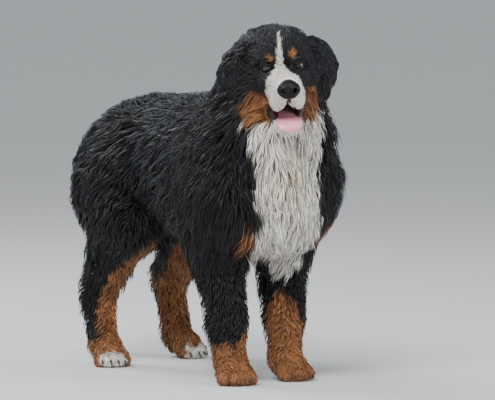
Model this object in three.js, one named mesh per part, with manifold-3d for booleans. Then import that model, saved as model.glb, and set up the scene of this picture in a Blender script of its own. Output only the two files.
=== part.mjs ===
// A life-size Bernese mountain dog: a big male that stands square, head up and turned to its right, mouth open.
// Millimetres. +X runs towards the head, +Y towards the dog's own left and +Z up, with the floor at Z 0.
// The body is a field of rounded masses that melt into each other. Each part is that field turned into a mesh,
// joined with flat, tapered locks of coat, and parted from its neighbours by thin cuts.

import * as THREE from "three";
import { mergeVertices } from "three/addons/utils/BufferGeometryUtils.js";
import Module from "manifold-3d";

const wasm = await Module();
wasm.setup();

// Driving dimensions

const ELBOW = 372;
const STIFLE = 378;
const HOCK = 190;
const PASTERN = 62; // where a leg ends and its paw begins
const FORE_TRACK = 92; // a foreleg's distance from the middle
const HIND_TRACK = 133;
const MIDDLE = [2, -3]; // the middle of the dog's length and width, moved to the origin at the end
const CORE_SHARE = 0.45; // how far the solid core reaches into the coat
const HALF_GAP = 0.17; // half of the gap between neighbouring parts

const HEAD = { at: [421, -24, 812], yaw: -21.5, pitch: 8, roll: 4 }; // the middle of the skull
const EYE = { at: [77, 39, 4], radius: 13 };
const FOOT = {
  foreR: { x: 302, y: -88, turn: -12 },
  foreL: { x: 268, y: 90, turn: 12 },
  hindR: { x: -284, y: -140, turn: -15 },
  hindL: { x: -402, y: 144, turn: 18 },
};

// Small helpers for points

const rad = THREE.MathUtils.degToRad;
const clamp = THREE.MathUtils.clamp;
const add = (a, b, s = 1) => [a[0] + b[0] * s, a[1] + b[1] * s, a[2] + b[2] * s];
const sub = (a, b) => add(a, b, -1);
const dot = (a, b) => a[0] * b[0] + a[1] * b[1] + a[2] * b[2];
const cross = (a, b) => [a[1] * b[2] - a[2] * b[1], a[2] * b[0] - a[0] * b[2], a[0] * b[1] - a[1] * b[0]];
const unit = (a) => add([0, 0, 0], a, 1 / Math.max(Math.hypot(...a), 1e-9));
const mix = (a, b, t) => a + (b - a) * t;
const smooth = (lo, hi, x) => THREE.MathUtils.smoothstep(x, lo, hi);

function seeded(seed) {
  let state = seed;
  return () => {
    state = (state + 0x6d2b79f5) | 0;
    let t = Math.imul(state ^ (state >>> 15), 1 | state);
    t = (t + Math.imul(t ^ (t >>> 7), 61 | t)) ^ t;
    return ((t ^ (t >>> 14)) >>> 0) / 4294967296;
  };
}

const headTurn = new THREE.Matrix4()
  .makeRotationZ(rad(HEAD.yaw))
  .multiply(new THREE.Matrix4().makeRotationY(rad(HEAD.pitch)))
  .multiply(new THREE.Matrix4().makeRotationX(rad(HEAD.roll)))
  .setPosition(...HEAD.at);
const headBack = headTurn.clone().invert();
const fromHead = (p) => new THREE.Vector3(...p).applyMatrix4(headTurn).toArray();
const toHead = (p) => new THREE.Vector3(...p).applyMatrix4(headBack).toArray();
const headWay = (v) => new THREE.Vector3(...v).transformDirection(headTurn).toArray();

// Masses. melt is how softly a mass joins the ones before it. coat is how far the fur stands out from the skin,
// rear what it gains where the surface looks backwards, under where it looks down, and lie the way that it lies.

const ball = (at, radii, more) => ({ kind: "ball", at, radii, ...more });
const limb = (from, to, r0, r1, more) => ({ kind: "limb", from, to, r0, r1, ...more });

function massDistance(m, p) {
  if (m.kind === "ball") {
    const q = sub(p, m.at).map((c, i) => c / m.radii[i]);
    const near = Math.hypot(...q);
    if (near < 1e-6) return -Math.min(...m.radii);
    return (near * (near - 1)) / Math.hypot(...q.map((c, i) => c / m.radii[i]));
  }
  const axis = sub(m.to, m.from);
  const t = clamp(dot(sub(p, m.from), axis) / dot(axis, axis), 0, 1);
  return Math.hypot(...sub(p, add(m.from, axis, t))) - mix(m.r0, m.r1, t);
}

const SIDES = [
  { name: "R", s: -1, fore: FOOT.foreR, hind: FOOT.hindR },
  { name: "L", s: 1, fore: FOOT.foreL, hind: FOOT.hindL },
];

const TRUNK = [
  ball([105, 0, 520], [250, 140, 165], { melt: 0, coat: 42, under: 14, lie: [-1, 0, -0.75] }),
  ball([278, 0, 508], [128, 128, 142], { melt: 60, coat: 46, lie: [-0.1, 0, -1] }),
  ball([195, 0, 607], [125, 78, 80], { melt: 60, coat: 36, lie: [-1, 0, -0.5] }),
  ball([-110, 0, 562], [225, 120, 122], { melt: 70, coat: 40, under: 22, lie: [-1, 0, -0.6] }),
  ball([-295, 0, 568], [135, 122, 108], { melt: 60, coat: 36, rear: 20, lie: [-0.8, 0, -0.7] }),
  ball([372, 0, 470], [42, 62, 88], { melt: 60, coat: 52, lie: [0.08, 0, -1] }),
];
const NECK = [
  limb([252, 0, 600], [372, -14, 790], 116, 92, { melt: 60, coat: 42, lie: [-0.6, 0, -1] }),
  limb([335, -5, 580], [402, -18, 715], 96, 76, { melt: 60, coat: 50, lie: [-0.05, 0, -1] }),
];
for (const { s } of SIDES) {
  TRUNK.push(
    ball([268, s * 98, 505], [98, 62, 150], { melt: 50, coat: 44, lie: [-0.35, 0, -1] }),
    ball([-302, s * 100, 475], [118, 66, 145], { melt: 60, coat: 34, rear: 38, lie: [-0.4, 0, -1] }),
  );
}

const LEGS = [];
for (const { s, fore, hind } of SIDES) {
  const wrist = [fore.x - 26, s * FORE_TRACK, 160];
  const elbow = [232 + (fore.x - 285) * 0.5, s * 102, ELBOW];
  const legCoat = { melt: 26, coat: 19, rear: 24, lie: [-0.25, 0, -1] };
  LEGS.push(
    limb([300, s * 95, 455], elbow, 76, 60, { ...legCoat, melt: 50, coat: 36 }),
    limb(elbow, wrist, 54, 37, legCoat),
    limb(wrist, [fore.x - 16, fore.y, PASTERN - 8], 37, 34, { ...legCoat, coat: 10, rear: 10 }),
  );
  const shift = (hind.x + 284) * 0.42; // a foot further back draws the stifle back by a part of the way
  const stifle = [-202 + shift, s * 124, STIFLE];
  const hock = [hind.x - 72, s * HIND_TRACK, HOCK];
  const hindCoat = { melt: 26, coat: 13, rear: 14, lie: [-0.2, 0, -1] };
  LEGS.push(
    limb([-275 + shift, s * 108, 475], stifle, 88, 62, { ...hindCoat, melt: 50, coat: 30, rear: 48 }),
    limb(stifle, add(hock, [14, 0, 8]), 58, 31, { ...hindCoat, coat: 15, rear: 38, melt: 40 }),
    limb(hock, [hind.x - 34, hind.y, PASTERN - 8], 31, 28, { ...hindCoat, rear: 20 }),
  );
}

// A paw is a low heel and four toes in an arc. It is worked out at the middle and turned about its own foot.
const TOES = [-1.5, -0.5, 0.5, 1.5];
const pawPoint = (foot, p) => {
  const a = rad(foot.turn);
  const [c, s] = [Math.cos(a), Math.sin(a)];
  return [foot.x + p[0] * c - p[1] * s, foot.y + p[0] * s + p[1] * c, p[2]];
};
const toeReach = (k) => 46 - 7 * k * k; // the middle toes stand out furthest
function pawMasses(foot, size) {
  const coat = { coat: 6, lie: [0.9, 0, -0.5] };
  const found = [
    limb(pawPoint(foot, [-22, 0, 50]), pawPoint(foot, [8, 0, 34]), 33 * size, 36 * size, { ...coat, melt: 16 }),
  ];
  for (const k of TOES)
    found.push(
      limb(
        pawPoint(foot, [10, k * 17 * size, 28]),
        pawPoint(foot, [toeReach(k) * size, k * 21 * size, 17]),
        20 * size,
        16.5 * size,
        { ...coat, melt: 7 },
      ),
    );
  return found;
}
const PAWS = SIDES.flatMap(({ fore, hind }) => [...pawMasses(fore, 1.02), ...pawMasses(hind, 0.94)]);

// Head masses stand in the head's own frame: x to the nose, y to the dog's left, z to the crown.
const SKULL = [
  ball([-14, 0, 14], [90, 76, 62], { melt: 0, coat: 17, rear: 14, lie: [-1, 0, -0.35] }),
  ball([48, 0, 24], [42, 56, 36], { melt: 26, coat: 9, lie: [-1, 0, 0.3] }),
  ball([112, 0, -38], [66, 34, 33], { melt: 24, coat: 4, lie: [-1, 0, -0.25] }),
  ball([148, 0, -42], [26, 30, 28], { melt: 18, coat: 3, lie: [-1, 0, -0.3] }),
];
for (const s of [-1, 1])
  SKULL.push(
    ball([8, s * 50, -34], [60, 36, 50], { melt: 30, coat: 15, lie: [-1, 0, -0.7] }),
    ball([66, s * 31, 24], [22, 20, 17], { melt: 16, coat: 6, lie: [-1, 0, 0.4] }),
    ball([84, s * 36, -28], [40, 22, 28], { melt: 20, coat: 5, lie: [-1, 0, -0.3] }),
    ball([124, s * 24, -62], [40, 18, 34], { melt: 14, coat: 4, lie: [-0.8, 0, -0.6] }),
  );
const JAW = [
  limb([8, 0, -90], [108, 0, -139], 38, 20, { melt: 14, coat: 7, lie: [-1, 0, -0.2] }),
  ball([122, 0, -142], [23, 27, 18], { melt: 12, coat: 5, lie: [-1, 0, -0.4] }),
];
for (const s of [-1, 1])
  JAW.push(limb([20, s * 38, -84], [100, s * 22, -126], 26, 14, { melt: 14, coat: 8, lie: [-1, 0, -0.5] }));
const MOUTH = ball([128, 0, -106], [72, 37, 17]); // the open space over the tongue
const HEAD_MASSES = [...SKULL, ...JAW].map((m) => ({ ...m, head: true }));

const TAIL_LINE = [
  [-400, 0, 628, 34],
  [-462, 0, 596, 33],
  [-506, -3, 500, 28],
  [-516, -6, 390, 23],
  [-500, -10, 290, 14],
];
const TAIL = TAIL_LINE.slice(1).map((end, i) => {
  const start = TAIL_LINE[i];
  const way = unit(sub(end, start));
  return limb(start.slice(0, 3), end.slice(0, 3), start[3], end[3], { melt: 20, coat: 34, rear: 14, lie: way });
});

// The field: distance to the skin, the coat's depth and the way that it lies, blended over the masses near a point

const BODY = [...TRUNK, ...NECK, ...LEGS, ...PAWS, ...HEAD_MASSES];

function skinDistance(masses, p) {
  const inHead = toHead(p);
  let d = Infinity;
  for (const m of masses) {
    const own = massDistance(m, m.head ? inHead : p);
    const k = m.melt || 1;
    const share = Math.max(k - Math.abs(d - own), 0) / k;
    d = Math.min(d, own) - (share * share * k) / 4;
  }
  return masses === BODY ? carved(d, inHead) : d;
}

// The mouth and the sockets of the eyes are hollowed out of the skin, and again out of the coat over it.
function carved(d, inHead) {
  if (inHead[0] < 20) return d;
  const [x, y, z] = EYE.at;
  const socket = Math.hypot(inHead[0] - x - 13, Math.abs(inHead[1]) - y - 4, inHead[2] - z) - 17;
  const cut = Math.max(6 - Math.abs(d + socket), 0) ** 2 / 24;
  return Math.max(Math.max(d, -socket) + cut, -massDistance(MOUTH, inHead));
}

function outward(masses, p, step = 3) {
  return unit(
    [0, 1, 2].map((i) => {
      const e = [0, 0, 0];
      e[i] = step;
      return skinDistance(masses, add(p, e)) - skinDistance(masses, sub(p, e));
    }),
  );
}

const BLEND_OVER = 14;
function coatAt(masses, p, normal) {
  const inHead = toHead(p);
  const gaps = masses.map((m) => massDistance(m, m.head ? inHead : p));
  const least = Math.min(...gaps);
  let [sum, depth, lie] = [0, 0, [0, 0, 0]];
  gaps.forEach((gap, i) => {
    const m = masses[i];
    const w = Math.exp((least - gap) / BLEND_OVER);
    const rear = (m.rear ?? 0) * Math.max(0, -normal[0]);
    const under = (m.under ?? 0) * Math.max(0, -normal[2]);
    sum += w;
    depth += w * (m.coat + rear + under);
    lie = add(lie, m.head ? headWay(m.lie) : unit(m.lie), w);
  });
  return { depth: depth / sum, lie: unit(lie) };
}

// A mesh of where a field is zero, by one point for each cell of a grid that the surface crosses

function meshOf(field, lo, hi, step) {
  const n = [0, 1, 2].map((i) => Math.ceil((hi[i] - lo[i]) / step) + 1);
  const at = (i, j, k) => [lo[0] + i * step, lo[1] + j * step, lo[2] + k * step];
  const slot = (i, j, k) => (i * n[1] + j) * n[2] + k;
  const values = new Float32Array(n[0] * n[1] * n[2]);
  const rim = (i, size) => i === 0 || i === size - 1;
  for (let i = 0; i < n[0]; i++)
    for (let j = 0; j < n[1]; j++)
      for (let k = 0; k < n[2]; k++) {
        const outside = rim(i, n[0]) || rim(j, n[1]) || rim(k, n[2]);
        values[slot(i, j, k)] = outside ? step : field(at(i, j, k));
      }
  // Where the signs on a face alternate, the surface would touch itself: one of the outer corners joins the inside.
  for (let settled = false; !settled; ) {
    settled = true;
    for (let i = 1; i < n[0] - 2; i++)
      for (let j = 1; j < n[1] - 2; j++)
        for (let k = 1; k < n[2] - 2; k++)
          for (const [u, w] of [[[1, 0, 0], [0, 1, 0]], [[0, 1, 0], [0, 0, 1]], [[0, 0, 1], [1, 0, 0]]]) {
            const here = slot(i, j, k);
            const [a, b] = [slot(i + u[0], j + u[1], k + u[2]), slot(i + w[0], j + w[1], k + w[2])];
            const over = slot(i + u[0] + w[0], j + u[1] + w[1], k + u[2] + w[2]);
            const [vh, va, vb, vo] = [here, a, b, over].map((c) => values[c] > 0);
            if (vh !== vo || va !== vb || vh === va) continue;
            values[vh ? here : a] = -step * 0.08;
            settled = false;
          }
  }
  const corners = [0, 1, 2, 3, 4, 5, 6, 7].map((c) => [c & 1, (c >> 1) & 1, c >> 2]);
  const edges = corners.flatMap((a, x) => corners.map((b, y) => [x, y])).filter(([x, y]) => {
    const moved = [0, 1, 2].filter((i) => corners[x][i] !== corners[y][i]);
    return x < y && moved.length === 1;
  });
  const points = [];
  const pointOf = new Int32Array(values.length).fill(-1);
  for (let i = 0; i < n[0] - 1; i++)
    for (let j = 0; j < n[1] - 1; j++)
      for (let k = 0; k < n[2] - 1; k++) {
        const v = corners.map((c) => values[slot(i + c[0], j + c[1], k + c[2])]);
        if (v.every((x) => x > 0) || v.every((x) => x <= 0)) continue;
        let [sum, count] = [[0, 0, 0], 0];
        for (const [x, y] of edges) {
          if (v[x] > 0 === v[y] > 0) continue;
          const t = v[x] / (v[x] - v[y]);
          sum = add(sum, corners[x].map((c, a) => mix(c, corners[y][a], t)));
          count++;
        }
        pointOf[slot(i, j, k)] = points.length;
        points.push(at(i + sum[0] / count, j + sum[1] / count, k + sum[2] / count));
      }
  const triangles = [];
  for (let i = 0; i < n[0] - 1; i++)
    for (let j = 0; j < n[1] - 1; j++)
      for (let k = 0; k < n[2] - 1; k++)
        [0, 1, 2].forEach((axis) => {
          const next = [i, j, k];
          if (next[(axis + 1) % 3] === 0 || next[(axis + 2) % 3] === 0) return;
          next[axis]++;
          const [here, there] = [values[slot(i, j, k)], values[slot(...next)]];
          if (here > 0 === there > 0) return;
          const [b, c] = [(axis + 1) % 3, (axis + 2) % 3];
          const around = [[0, 0], [-1, 0], [-1, -1], [0, -1]].map(([u, w]) => {
            const cell = [i, j, k];
            cell[b] += u;
            cell[c] += w;
            return pointOf[slot(...cell)];
          });
          if (here > 0) around.reverse();
          triangles.push(around[0], around[1], around[2], around[0], around[2], around[3]);
        });
  return { points, triangles };
}

// Solids

function solid({ points, triangles }) {
  return new wasm.Manifold(
    new wasm.Mesh({
      numProp: 3,
      vertProperties: new Float32Array(points.flat()),
      triVerts: new Uint32Array(triangles),
    }),
  );
}

function solidOf(geometry, matrix) {
  const bare = geometry.index ? geometry.toNonIndexed() : geometry.clone();
  const world = new THREE.BufferGeometry().setAttribute("position", bare.getAttribute("position"));
  if (matrix) world.applyMatrix4(matrix);
  const merged = mergeVertices(world, 1e-3);
  return new wasm.Manifold(
    new wasm.Mesh({
      numProp: 3,
      vertProperties: merged.attributes.position.array,
      triVerts: new Uint32Array(merged.index.array),
    }),
  );
}

const fuse = (solids) => wasm.Manifold.union(solids);

function largest(s) {
  const bodies = s.decompose();
  return bodies.reduce((best, b) => (b.volume() > best.volume() ? b : best), bodies[0]);
}

// Rings of points along a line, closed across the first ring, and across the last or to a tip
function loft(rings, tip) {
  const size = rings[0].length;
  const points = rings.flat();
  const triangles = [];
  for (let r = 0; r < rings.length - 1; r++)
    for (let i = 0; i < size; i++) {
      const [a, b] = [r * size + i, r * size + ((i + 1) % size)];
      triangles.push(a, b, b + size, a, b + size, a + size);
    }
  const last = (rings.length - 1) * size;
  for (let i = 1; i < size - 1; i++) triangles.push(0, i + 1, i);
  if (tip) for (let i = 0; i < size; i++) triangles.push(last + i, last + ((i + 1) % size), points.length);
  else for (let i = 1; i < size - 1; i++) triangles.push(last, last + i, last + i + 1);
  if (tip) points.push(tip);
  return facingOut({ points, triangles });
}

// The same mesh with its faces turned round if they look inwards
function facingOut({ points, triangles }) {
  let volume = 0;
  for (let t = 0; t < triangles.length; t += 3) {
    const [a, b, c] = triangles.slice(t, t + 3).map((i) => points[i]);
    volume += dot(a, cross(b, c));
  }
  return { points, triangles: volume < 0 ? triangles.toReversed() : triangles };
}

// A flat slab of one outline in the x-z plane, between two values of y
function prism(outline, y0, y1) {
  const shape = new THREE.Shape(outline.map(([x, z]) => new THREE.Vector2(x, z)));
  const geometry = new THREE.ExtrudeGeometry(shape, { depth: y1 - y0, bevelEnabled: false });
  // The shape's own plane is x-y: a quarter turn about x stands it up, and puts its depth along -y.
  const upright = new THREE.Matrix4().makeRotationX(Math.PI / 2);
  return solidOf(geometry, new THREE.Matrix4().makeTranslation(0, y1, 0).multiply(upright));
}

// The same outline with each side moved in by one gap
function inset(outline, gap) {
  const area = outline.reduce((sum, [x, z], i) => {
    const [u, w] = outline[(i + 1) % outline.length];
    return sum + x * w - u * z;
  }, 0);
  const turn = Math.sign(area);
  return outline.map((p, i) => {
    const [before, after] = [outline.at(i - 1), outline[(i + 1) % outline.length]];
    const way = (from, to) => unit([to[0] - from[0], 0, to[1] - from[1]]);
    const [a, b] = [way(before, p), way(p, after)];
    const [na, nb] = [a, b].map((e) => [-e[2] * turn, e[0] * turn]);
    const reach = gap / (1 + na[0] * nb[0] + na[1] * nb[1]);
    return [p[0] + (na[0] + nb[0]) * reach, p[1] + (na[1] + nb[1]) * reach];
  });
}

// Everything on the side of a plane that its normal points to
const VAST = 3000;
function halfSpace(at, normal, back = 0) {
  const n = unit(normal);
  const turn = new THREE.Matrix4().lookAt(new THREE.Vector3(...n), new THREE.Vector3(), new THREE.Vector3(0.3, 1, 0.2));
  const box = new THREE.BoxGeometry(VAST, VAST, VAST);
  return solidOf(box, turn.setPosition(...add(at, n, VAST / 2 + back)));
}

// Locks of coat

const rand = seeded(20);
const spread = (amount) => (rand() * 2 - 1) * amount;

// A lock follows the lie of the coat from a root well inside the core out to the coat's own depth.
const LOCK = {
  stations: [0, 0.28, 0.62, 1],
  width: [0.7, 1, 0.6],
  height: [0, 0.6, 0.88, 1], // shares of the coat's depth
  root: -10, // the first ring, measured from the skin
  ridge: [0.62, -0.4], // of the thickness, over and under the lock's middle line
};
function lock(masses, root, { length, width, thick, lift = 1, droop = 0.3, sway = 0 }) {
  let p = root;
  let normal = outward(masses, p);
  const { depth, lie } = coatAt(masses, p, normal);
  const rings = [];
  let tip = null;
  LOCK.stations.forEach((t, i) => {
    const bend = sway * (i < 2 ? 1 : -1.2);
    let way = add(add(lie, [0, 0, -1], droop * t), unit(cross(normal, lie)), bend);
    way = unit(add(way, normal, -dot(way, normal) * (i < 2 ? 1 : 0.7)));
    if (i > 0) p = add(p, way, (t - LOCK.stations[i - 1]) * length);
    const gap = skinDistance(masses, p);
    normal = outward(masses, p);
    const wanted = i === 0 ? LOCK.root : LOCK.height[i] * lift * depth;
    p = add(p, normal, (wanted - gap) * (gap < wanted || i < 2 ? 1 : 0.5));
    if (i === 3) {
      tip = p;
      return;
    }
    const side = unit(cross(normal, way));
    const half = (width / 2) * LOCK.width[i];
    rings.push([
      add(p, side, half),
      add(p, normal, thick * LOCK.ridge[0]),
      add(p, side, -half),
      add(p, normal, thick * LOCK.ridge[1]),
    ]);
  });
  return loft(rings, tip);
}

// Points spread evenly over a mesh. Two may stand nearer to each other across the lie than along it.
const ALONG = 1.5;
function scatter(points, spacingAt) {
  const order = points.map((p) => [rand(), p]).sort((a, b) => a[0] - b[0]);
  const kept = [];
  for (const [, p] of order) {
    const { spacing, lie } = spacingAt(p);
    if (!spacing) continue;
    const clear = kept.every((q) => {
      const apart = sub(p, q);
      const along = dot(apart, lie);
      return Math.hypot(...add(apart, lie, -along), along / ALONG) > spacing;
    });
    if (clear) kept.push(p);
  }
  return kept;
}

const LOCK_FROM = 27; // a coat shallower than this has no locks
const LOCK_WIDTH = 76;
const LOCK_APART = 65;
function locksOver(masses, lo, hi, { apart = LOCK_APART, width = LOCK_WIDTH, least = LOCK_FROM, long = 1 } = {}) {
  const skin = meshOf((p) => skinDistance(masses, p), lo, hi, 24);
  const roots = scatter(skin.points, (p) => {
    const normal = outward(masses, p);
    const { depth, lie } = coatAt(masses, p, normal);
    const hidden = normal[2] < -0.8 || (toHead(p)[0] > -30 && toHead(p)[2] > -135);
    return { spacing: depth < least || hidden ? 0 : apart, lie };
  });
  return roots.map((root) => {
    const { depth } = coatAt(masses, root, outward(masses, root));
    return solid(
      lock(masses, root, {
        length: (64 + depth * 1.5) * long,
        width: width + spread(width / 8),
        thick: 14,
        lift: 1 + spread(0.12),
        sway: spread(0.25),
      }),
    );
  });
}

// Details of the head, each worked out in the head's own frame and then placed

const placed = ({ points, triangles }) => ({ points: points.map(fromHead), triangles });

// The same mesh with each point moved out, so that every face round it moves out too
function inflated({ points, triangles }, amount) {
  const around = points.map(() => []);
  for (let t = 0; t < triangles.length; t += 3) {
    const [a, b, c] = triangles.slice(t, t + 3);
    const n = unit(cross(sub(points[b], points[a]), sub(points[c], points[a])));
    for (const i of [a, b, c]) around[i].push(n);
  }
  const moved = points.map((p, i) => {
    let way = unit(around[i].reduce((sum, n) => add(sum, n), [0, 0, 0]));
    const worst = () => around[i].reduce((w, n) => (dot(n, way) < dot(w, way) ? n : w));
    for (let k = 0; k < 20 && dot(worst(), way) < 0.5; k++) way = unit(add(way, worst(), 0.3));
    return add(p, way, amount / clamp(dot(worst(), way), 0.4, 1));
  });
  return { points: moved, triangles };
}

function eyeball(s) {
  const [x, y, z] = EYE.at;
  const round = (p) => Math.hypot(...sub(p, [x, s * y, z])) - EYE.radius;
  const reach = EYE.radius + 6;
  return placed(meshOf(round, [x, s * y, z].map((c) => c - reach), [x, s * y, z].map((c) => c + reach), 6));
}

// Two lids that bridge from the rim of the socket to the almond of each eye, over the eyeball
function eyelids(s) {
  const [x, y, z] = EYE.at;
  const look = unit([0.9, s * 0.42, 0.02]);
  const across = unit([-look[1] * s, look[0] * s, -0.12]); // towards the outer corner
  const up = unit(cross(look, across)).map((c) => c * s);
  const over = (u, v, ahead, height) => {
    const way = unit(add(add(look.map((c) => c * ahead), across, u), up, v));
    return add([x, s * y, z], way, EYE.radius + height);
  };
  return [1, -1].map((part) => {
    const rings = [];
    for (let i = 0; i <= 6; i++) {
      const a = (i / 6) * Math.PI;
      const [u, v] = [-Math.cos(a), Math.sin(a) * (part > 0 ? 0.5 : -0.46)];
      rings.push([
        over(u, v, 1, 0.8),
        over(u, v, 1, 2.6),
        over(u * 1.25, v * 2.6 + part * 0.25, 0.5, 5),
        over(u * 1.25, v * 2.6 + part * 0.25, 0.2, 0.8),
      ]);
    }
    return placed(loft(rings));
  });
}

function nose() {
  const at = [168, 0, -30];
  const shape = (p) => {
    const q = [p[0], Math.abs(p[1]), p[2]];
    const body = massDistance(ball(at, [18, 23, 21]), p);
    const wing = massDistance(ball([173, 14, -32], [14, 13, 15]), q);
    const joined = -5 * Math.log(Math.exp(-body / 5) + Math.exp(-wing / 5));
    const nostril = massDistance(limb([176, 11, -31], [194, 15, -30], 4.4, 5.4), q);
    const slit = massDistance(limb([186, 17, -34], [183, 28, -36], 2.2, 2.2), q);
    return Math.max(joined, -Math.min(nostril, slit));
  };
  return placed(meshOf(shape, [142, -36, -60], [200, 36, -2], 6.4));
}

const TONGUE = [
  // x, z, half width, half thickness
  [48, -112, 20, 5],
  [92, -121, 27, 5],
  [126, -123, 31, 5],
  [148, -127, 32, 5],
  [158, -138, 27, 5],
  [157, -148, 15, 3.5],
];
function tongue() {
  const rings = TONGUE.map(([x, z, half, thick], i) => {
    const [before, after] = [TONGUE[Math.max(i - 1, 0)], TONGUE[Math.min(i + 1, TONGUE.length - 1)]];
    const along = unit([after[0] - before[0], 0, after[1] - before[1]]);
    const up = [-along[2], 0, along[0]];
    return [0, 1, 2, 3, 4, 5, 6, 7, 8, 9].map((k) => {
      const a = (k / 10) * Math.PI * 2 - Math.PI / 2;
      const middle = Math.exp(-((Math.sin(a * 0.5 - Math.PI / 4) / 0.4) ** 2)); // the furrow along the top
      const [u, v] = [-Math.sin(a) * half, Math.cos(a) * thick];
      return add(add([x, 0, z], [0, 1, 0], u), up, v - (v > 0 ? middle * 2.4 : 0));
    });
  });
  return placed(loft(rings));
}

// An ear is a flap that rises from the skull, folds over and hangs, hollow on the side that faces the head.
const EAR_LINE = [
  // out from the middle, up, half width, thickness, how hollow, forwards
  [54, 32, 22, 14, 0.1, -24],
  [80, 40, 35, 18, 0.2, -22],
  [106, 25, 44, 20, 0.35, -18],
  [123, -2, 49, 20, 0.45, -14],
  [126, -32, 45, 19, 0.45, -12],
  [118, -60, 33, 15, 0.35, -10],
  [106, -88, 13, 9, 0.2, -8],
];
const EAR_TURN = rad(33); // the front edge lies nearer to the head than the rear edge
function ear(s) {
  const rings = EAR_LINE.map(([y, z, half, thick, hollow, x], i) => {
    const [before, after] = [EAR_LINE[Math.max(i - 1, 0)], EAR_LINE[Math.min(i + 1, EAR_LINE.length - 1)]];
    const along = unit([0, after[0] - before[0], after[1] - before[1]]);
    const outer = [0, -along[2], along[1]]; // away from the head
    const ring = [];
    const section = [[-1, 0], [-0.6, 0.8], [0, 1], [0.6, 0.8], [1, 0], [0.62, -0.5], [0, -1], [-0.62, -0.5]];
    for (const [u, v] of section) {
      const curl = -hollow * half * 0.5 * u * u; // the edges turn towards the head
      const inside = v < 0 ? -v * hollow * 10 : 0;
      const across = [u * half * Math.cos(EAR_TURN) + x, -u * half * Math.sin(EAR_TURN), 0];
      const p = add(add([0, y, z], across), outer, v * thick * 0.8 + curl + inside);
      ring.push([p[0], s * p[1], p[2]]);
    }
    return s > 0 ? ring : ring.reverse();
  });
  return placed(loft(rings));
}

// Regions that part the body

const VERTICAL = 1400;
const neckCut = { at: [300, 0, 648], normal: [0.55, -0.06, 0.83] };
const headCut = { at: fromHead([-62, 0, 0]), normal: headWay([0.8, 0, 0.6]) };
const midCuts = [40, -165]; // between forequarters, barrel and hindquarters

const foreOutline = [[110, -30], [520, -30], [520, 190], [352, 232], [345, 318], [110, 318]];
const hindOutline = (x) => {
  const [rear, front] = [x - 130, x + 200];
  return [[rear, -30], [front, -30], [front, 326], [x - 12, 326], [x - 92, 232], [rear, 190]];
};

const parts = [];
// Where two sheets of a surface touch, each sheet's points are drawn back a little into its own side
function unpinched(mesh) {
  const at = (i) => new THREE.Vector3().fromArray(mesh.vertProperties, 3 * i);
  const byPlace = new Map();
  for (let i = 0; i < mesh.vertProperties.length / 3; i++) {
    const place = at(i).toArray().map((c) => Math.round(c * 100)).join();
    byPlace.set(place, [...(byPlace.get(place) ?? []), i]);
  }
  const twins = new Set([...byPlace.values()].filter((v) => v.length > 1).flat());
  const normals = new Map([...twins].map((i) => [i, new THREE.Vector3()]));
  for (let t = 0; t < mesh.triVerts.length; t += 3) {
    const corners = [...mesh.triVerts.slice(t, t + 3)];
    if (!corners.some((i) => twins.has(i))) continue;
    const [a, b, c] = corners.map(at);
    const normal = b.sub(a).cross(c.sub(a)).normalize();
    for (const i of corners) normals.get(i)?.add(normal);
  }
  for (const [i, normal] of normals)
    at(i).addScaledVector(normal.normalize(), -0.08).toArray(mesh.vertProperties, 3 * i);
  return mesh;
}

function keep(name, colour, made, more = {}) {
  const body = largest(made);
  const mesh = unpinched(body.getMesh());
  const geometry = new THREE.BufferGeometry();
  geometry.setAttribute("position", new THREE.BufferAttribute(new Float32Array(mesh.vertProperties), 3));
  geometry.setIndex(new THREE.BufferAttribute(new Uint32Array(mesh.triVerts), 1));
  const material = new THREE.MeshStandardMaterial({ color: colour, roughness: 0.8, metalness: 0, ...more });
  const piece = new THREE.Mesh(geometry, material);
  piece.name = name;
  parts.push(piece);
}

const [BLACK, BROWN, PINK] = [0x17171b, 0x2a1408, 0xc98a8e];
const core = (p) => {
  const d = skinDistance(BODY, p);
  if (d > 60 || d < -60) return d;
  return carved(d - CORE_SHARE * coatAt(BODY, p, outward(BODY, p)).depth, toHead(p));
};
const coreSolid = (lo, hi, step) => solid(meshOf(core, lo, hi, step));

const locks = locksOver(BODY, [-480, -260, 110], [560, 260, 930]);
const SLIVER = 3.1; // detail smaller than this is left out of the coat
const meets = (a, b) => [0, 1, 2].every((i) => a.min[i] < b.max[i] && b.min[i] < a.max[i]);
const coatOf = (made, strands = locks) => {
  const box = made.boundingBox();
  return fuse([made, ...strands.filter((l) => meets(l.boundingBox(), box))]).simplify(SLIVER);
};

const floor = halfSpace([0, 0, 0], [0, 0, 1]);
const neckUp = halfSpace(neckCut.at, neckCut.normal, HALF_GAP);
const neckDown = halfSpace(neckCut.at, neckCut.normal.map((c) => -c), HALF_GAP);
const headUp = halfSpace(headCut.at, headCut.normal, HALF_GAP);
const headDown = halfSpace(headCut.at, headCut.normal.map((c) => -c), HALF_GAP);

const legRegion = {};
for (const { name, s, fore, hind } of SIDES) {
  const [near, far] = [16, 320];
  const span = (gap) => (s > 0 ? [near + gap, far] : [-far, -near - gap]);
  const pair = (outline) => [0, 2 * HALF_GAP].map((gap) => prism(inset(outline, gap), ...span(gap)));
  legRegion["fore" + name] = pair(foreOutline);
  legRegion["hind" + name] = pair(hindOutline(hind.x));
}

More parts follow.
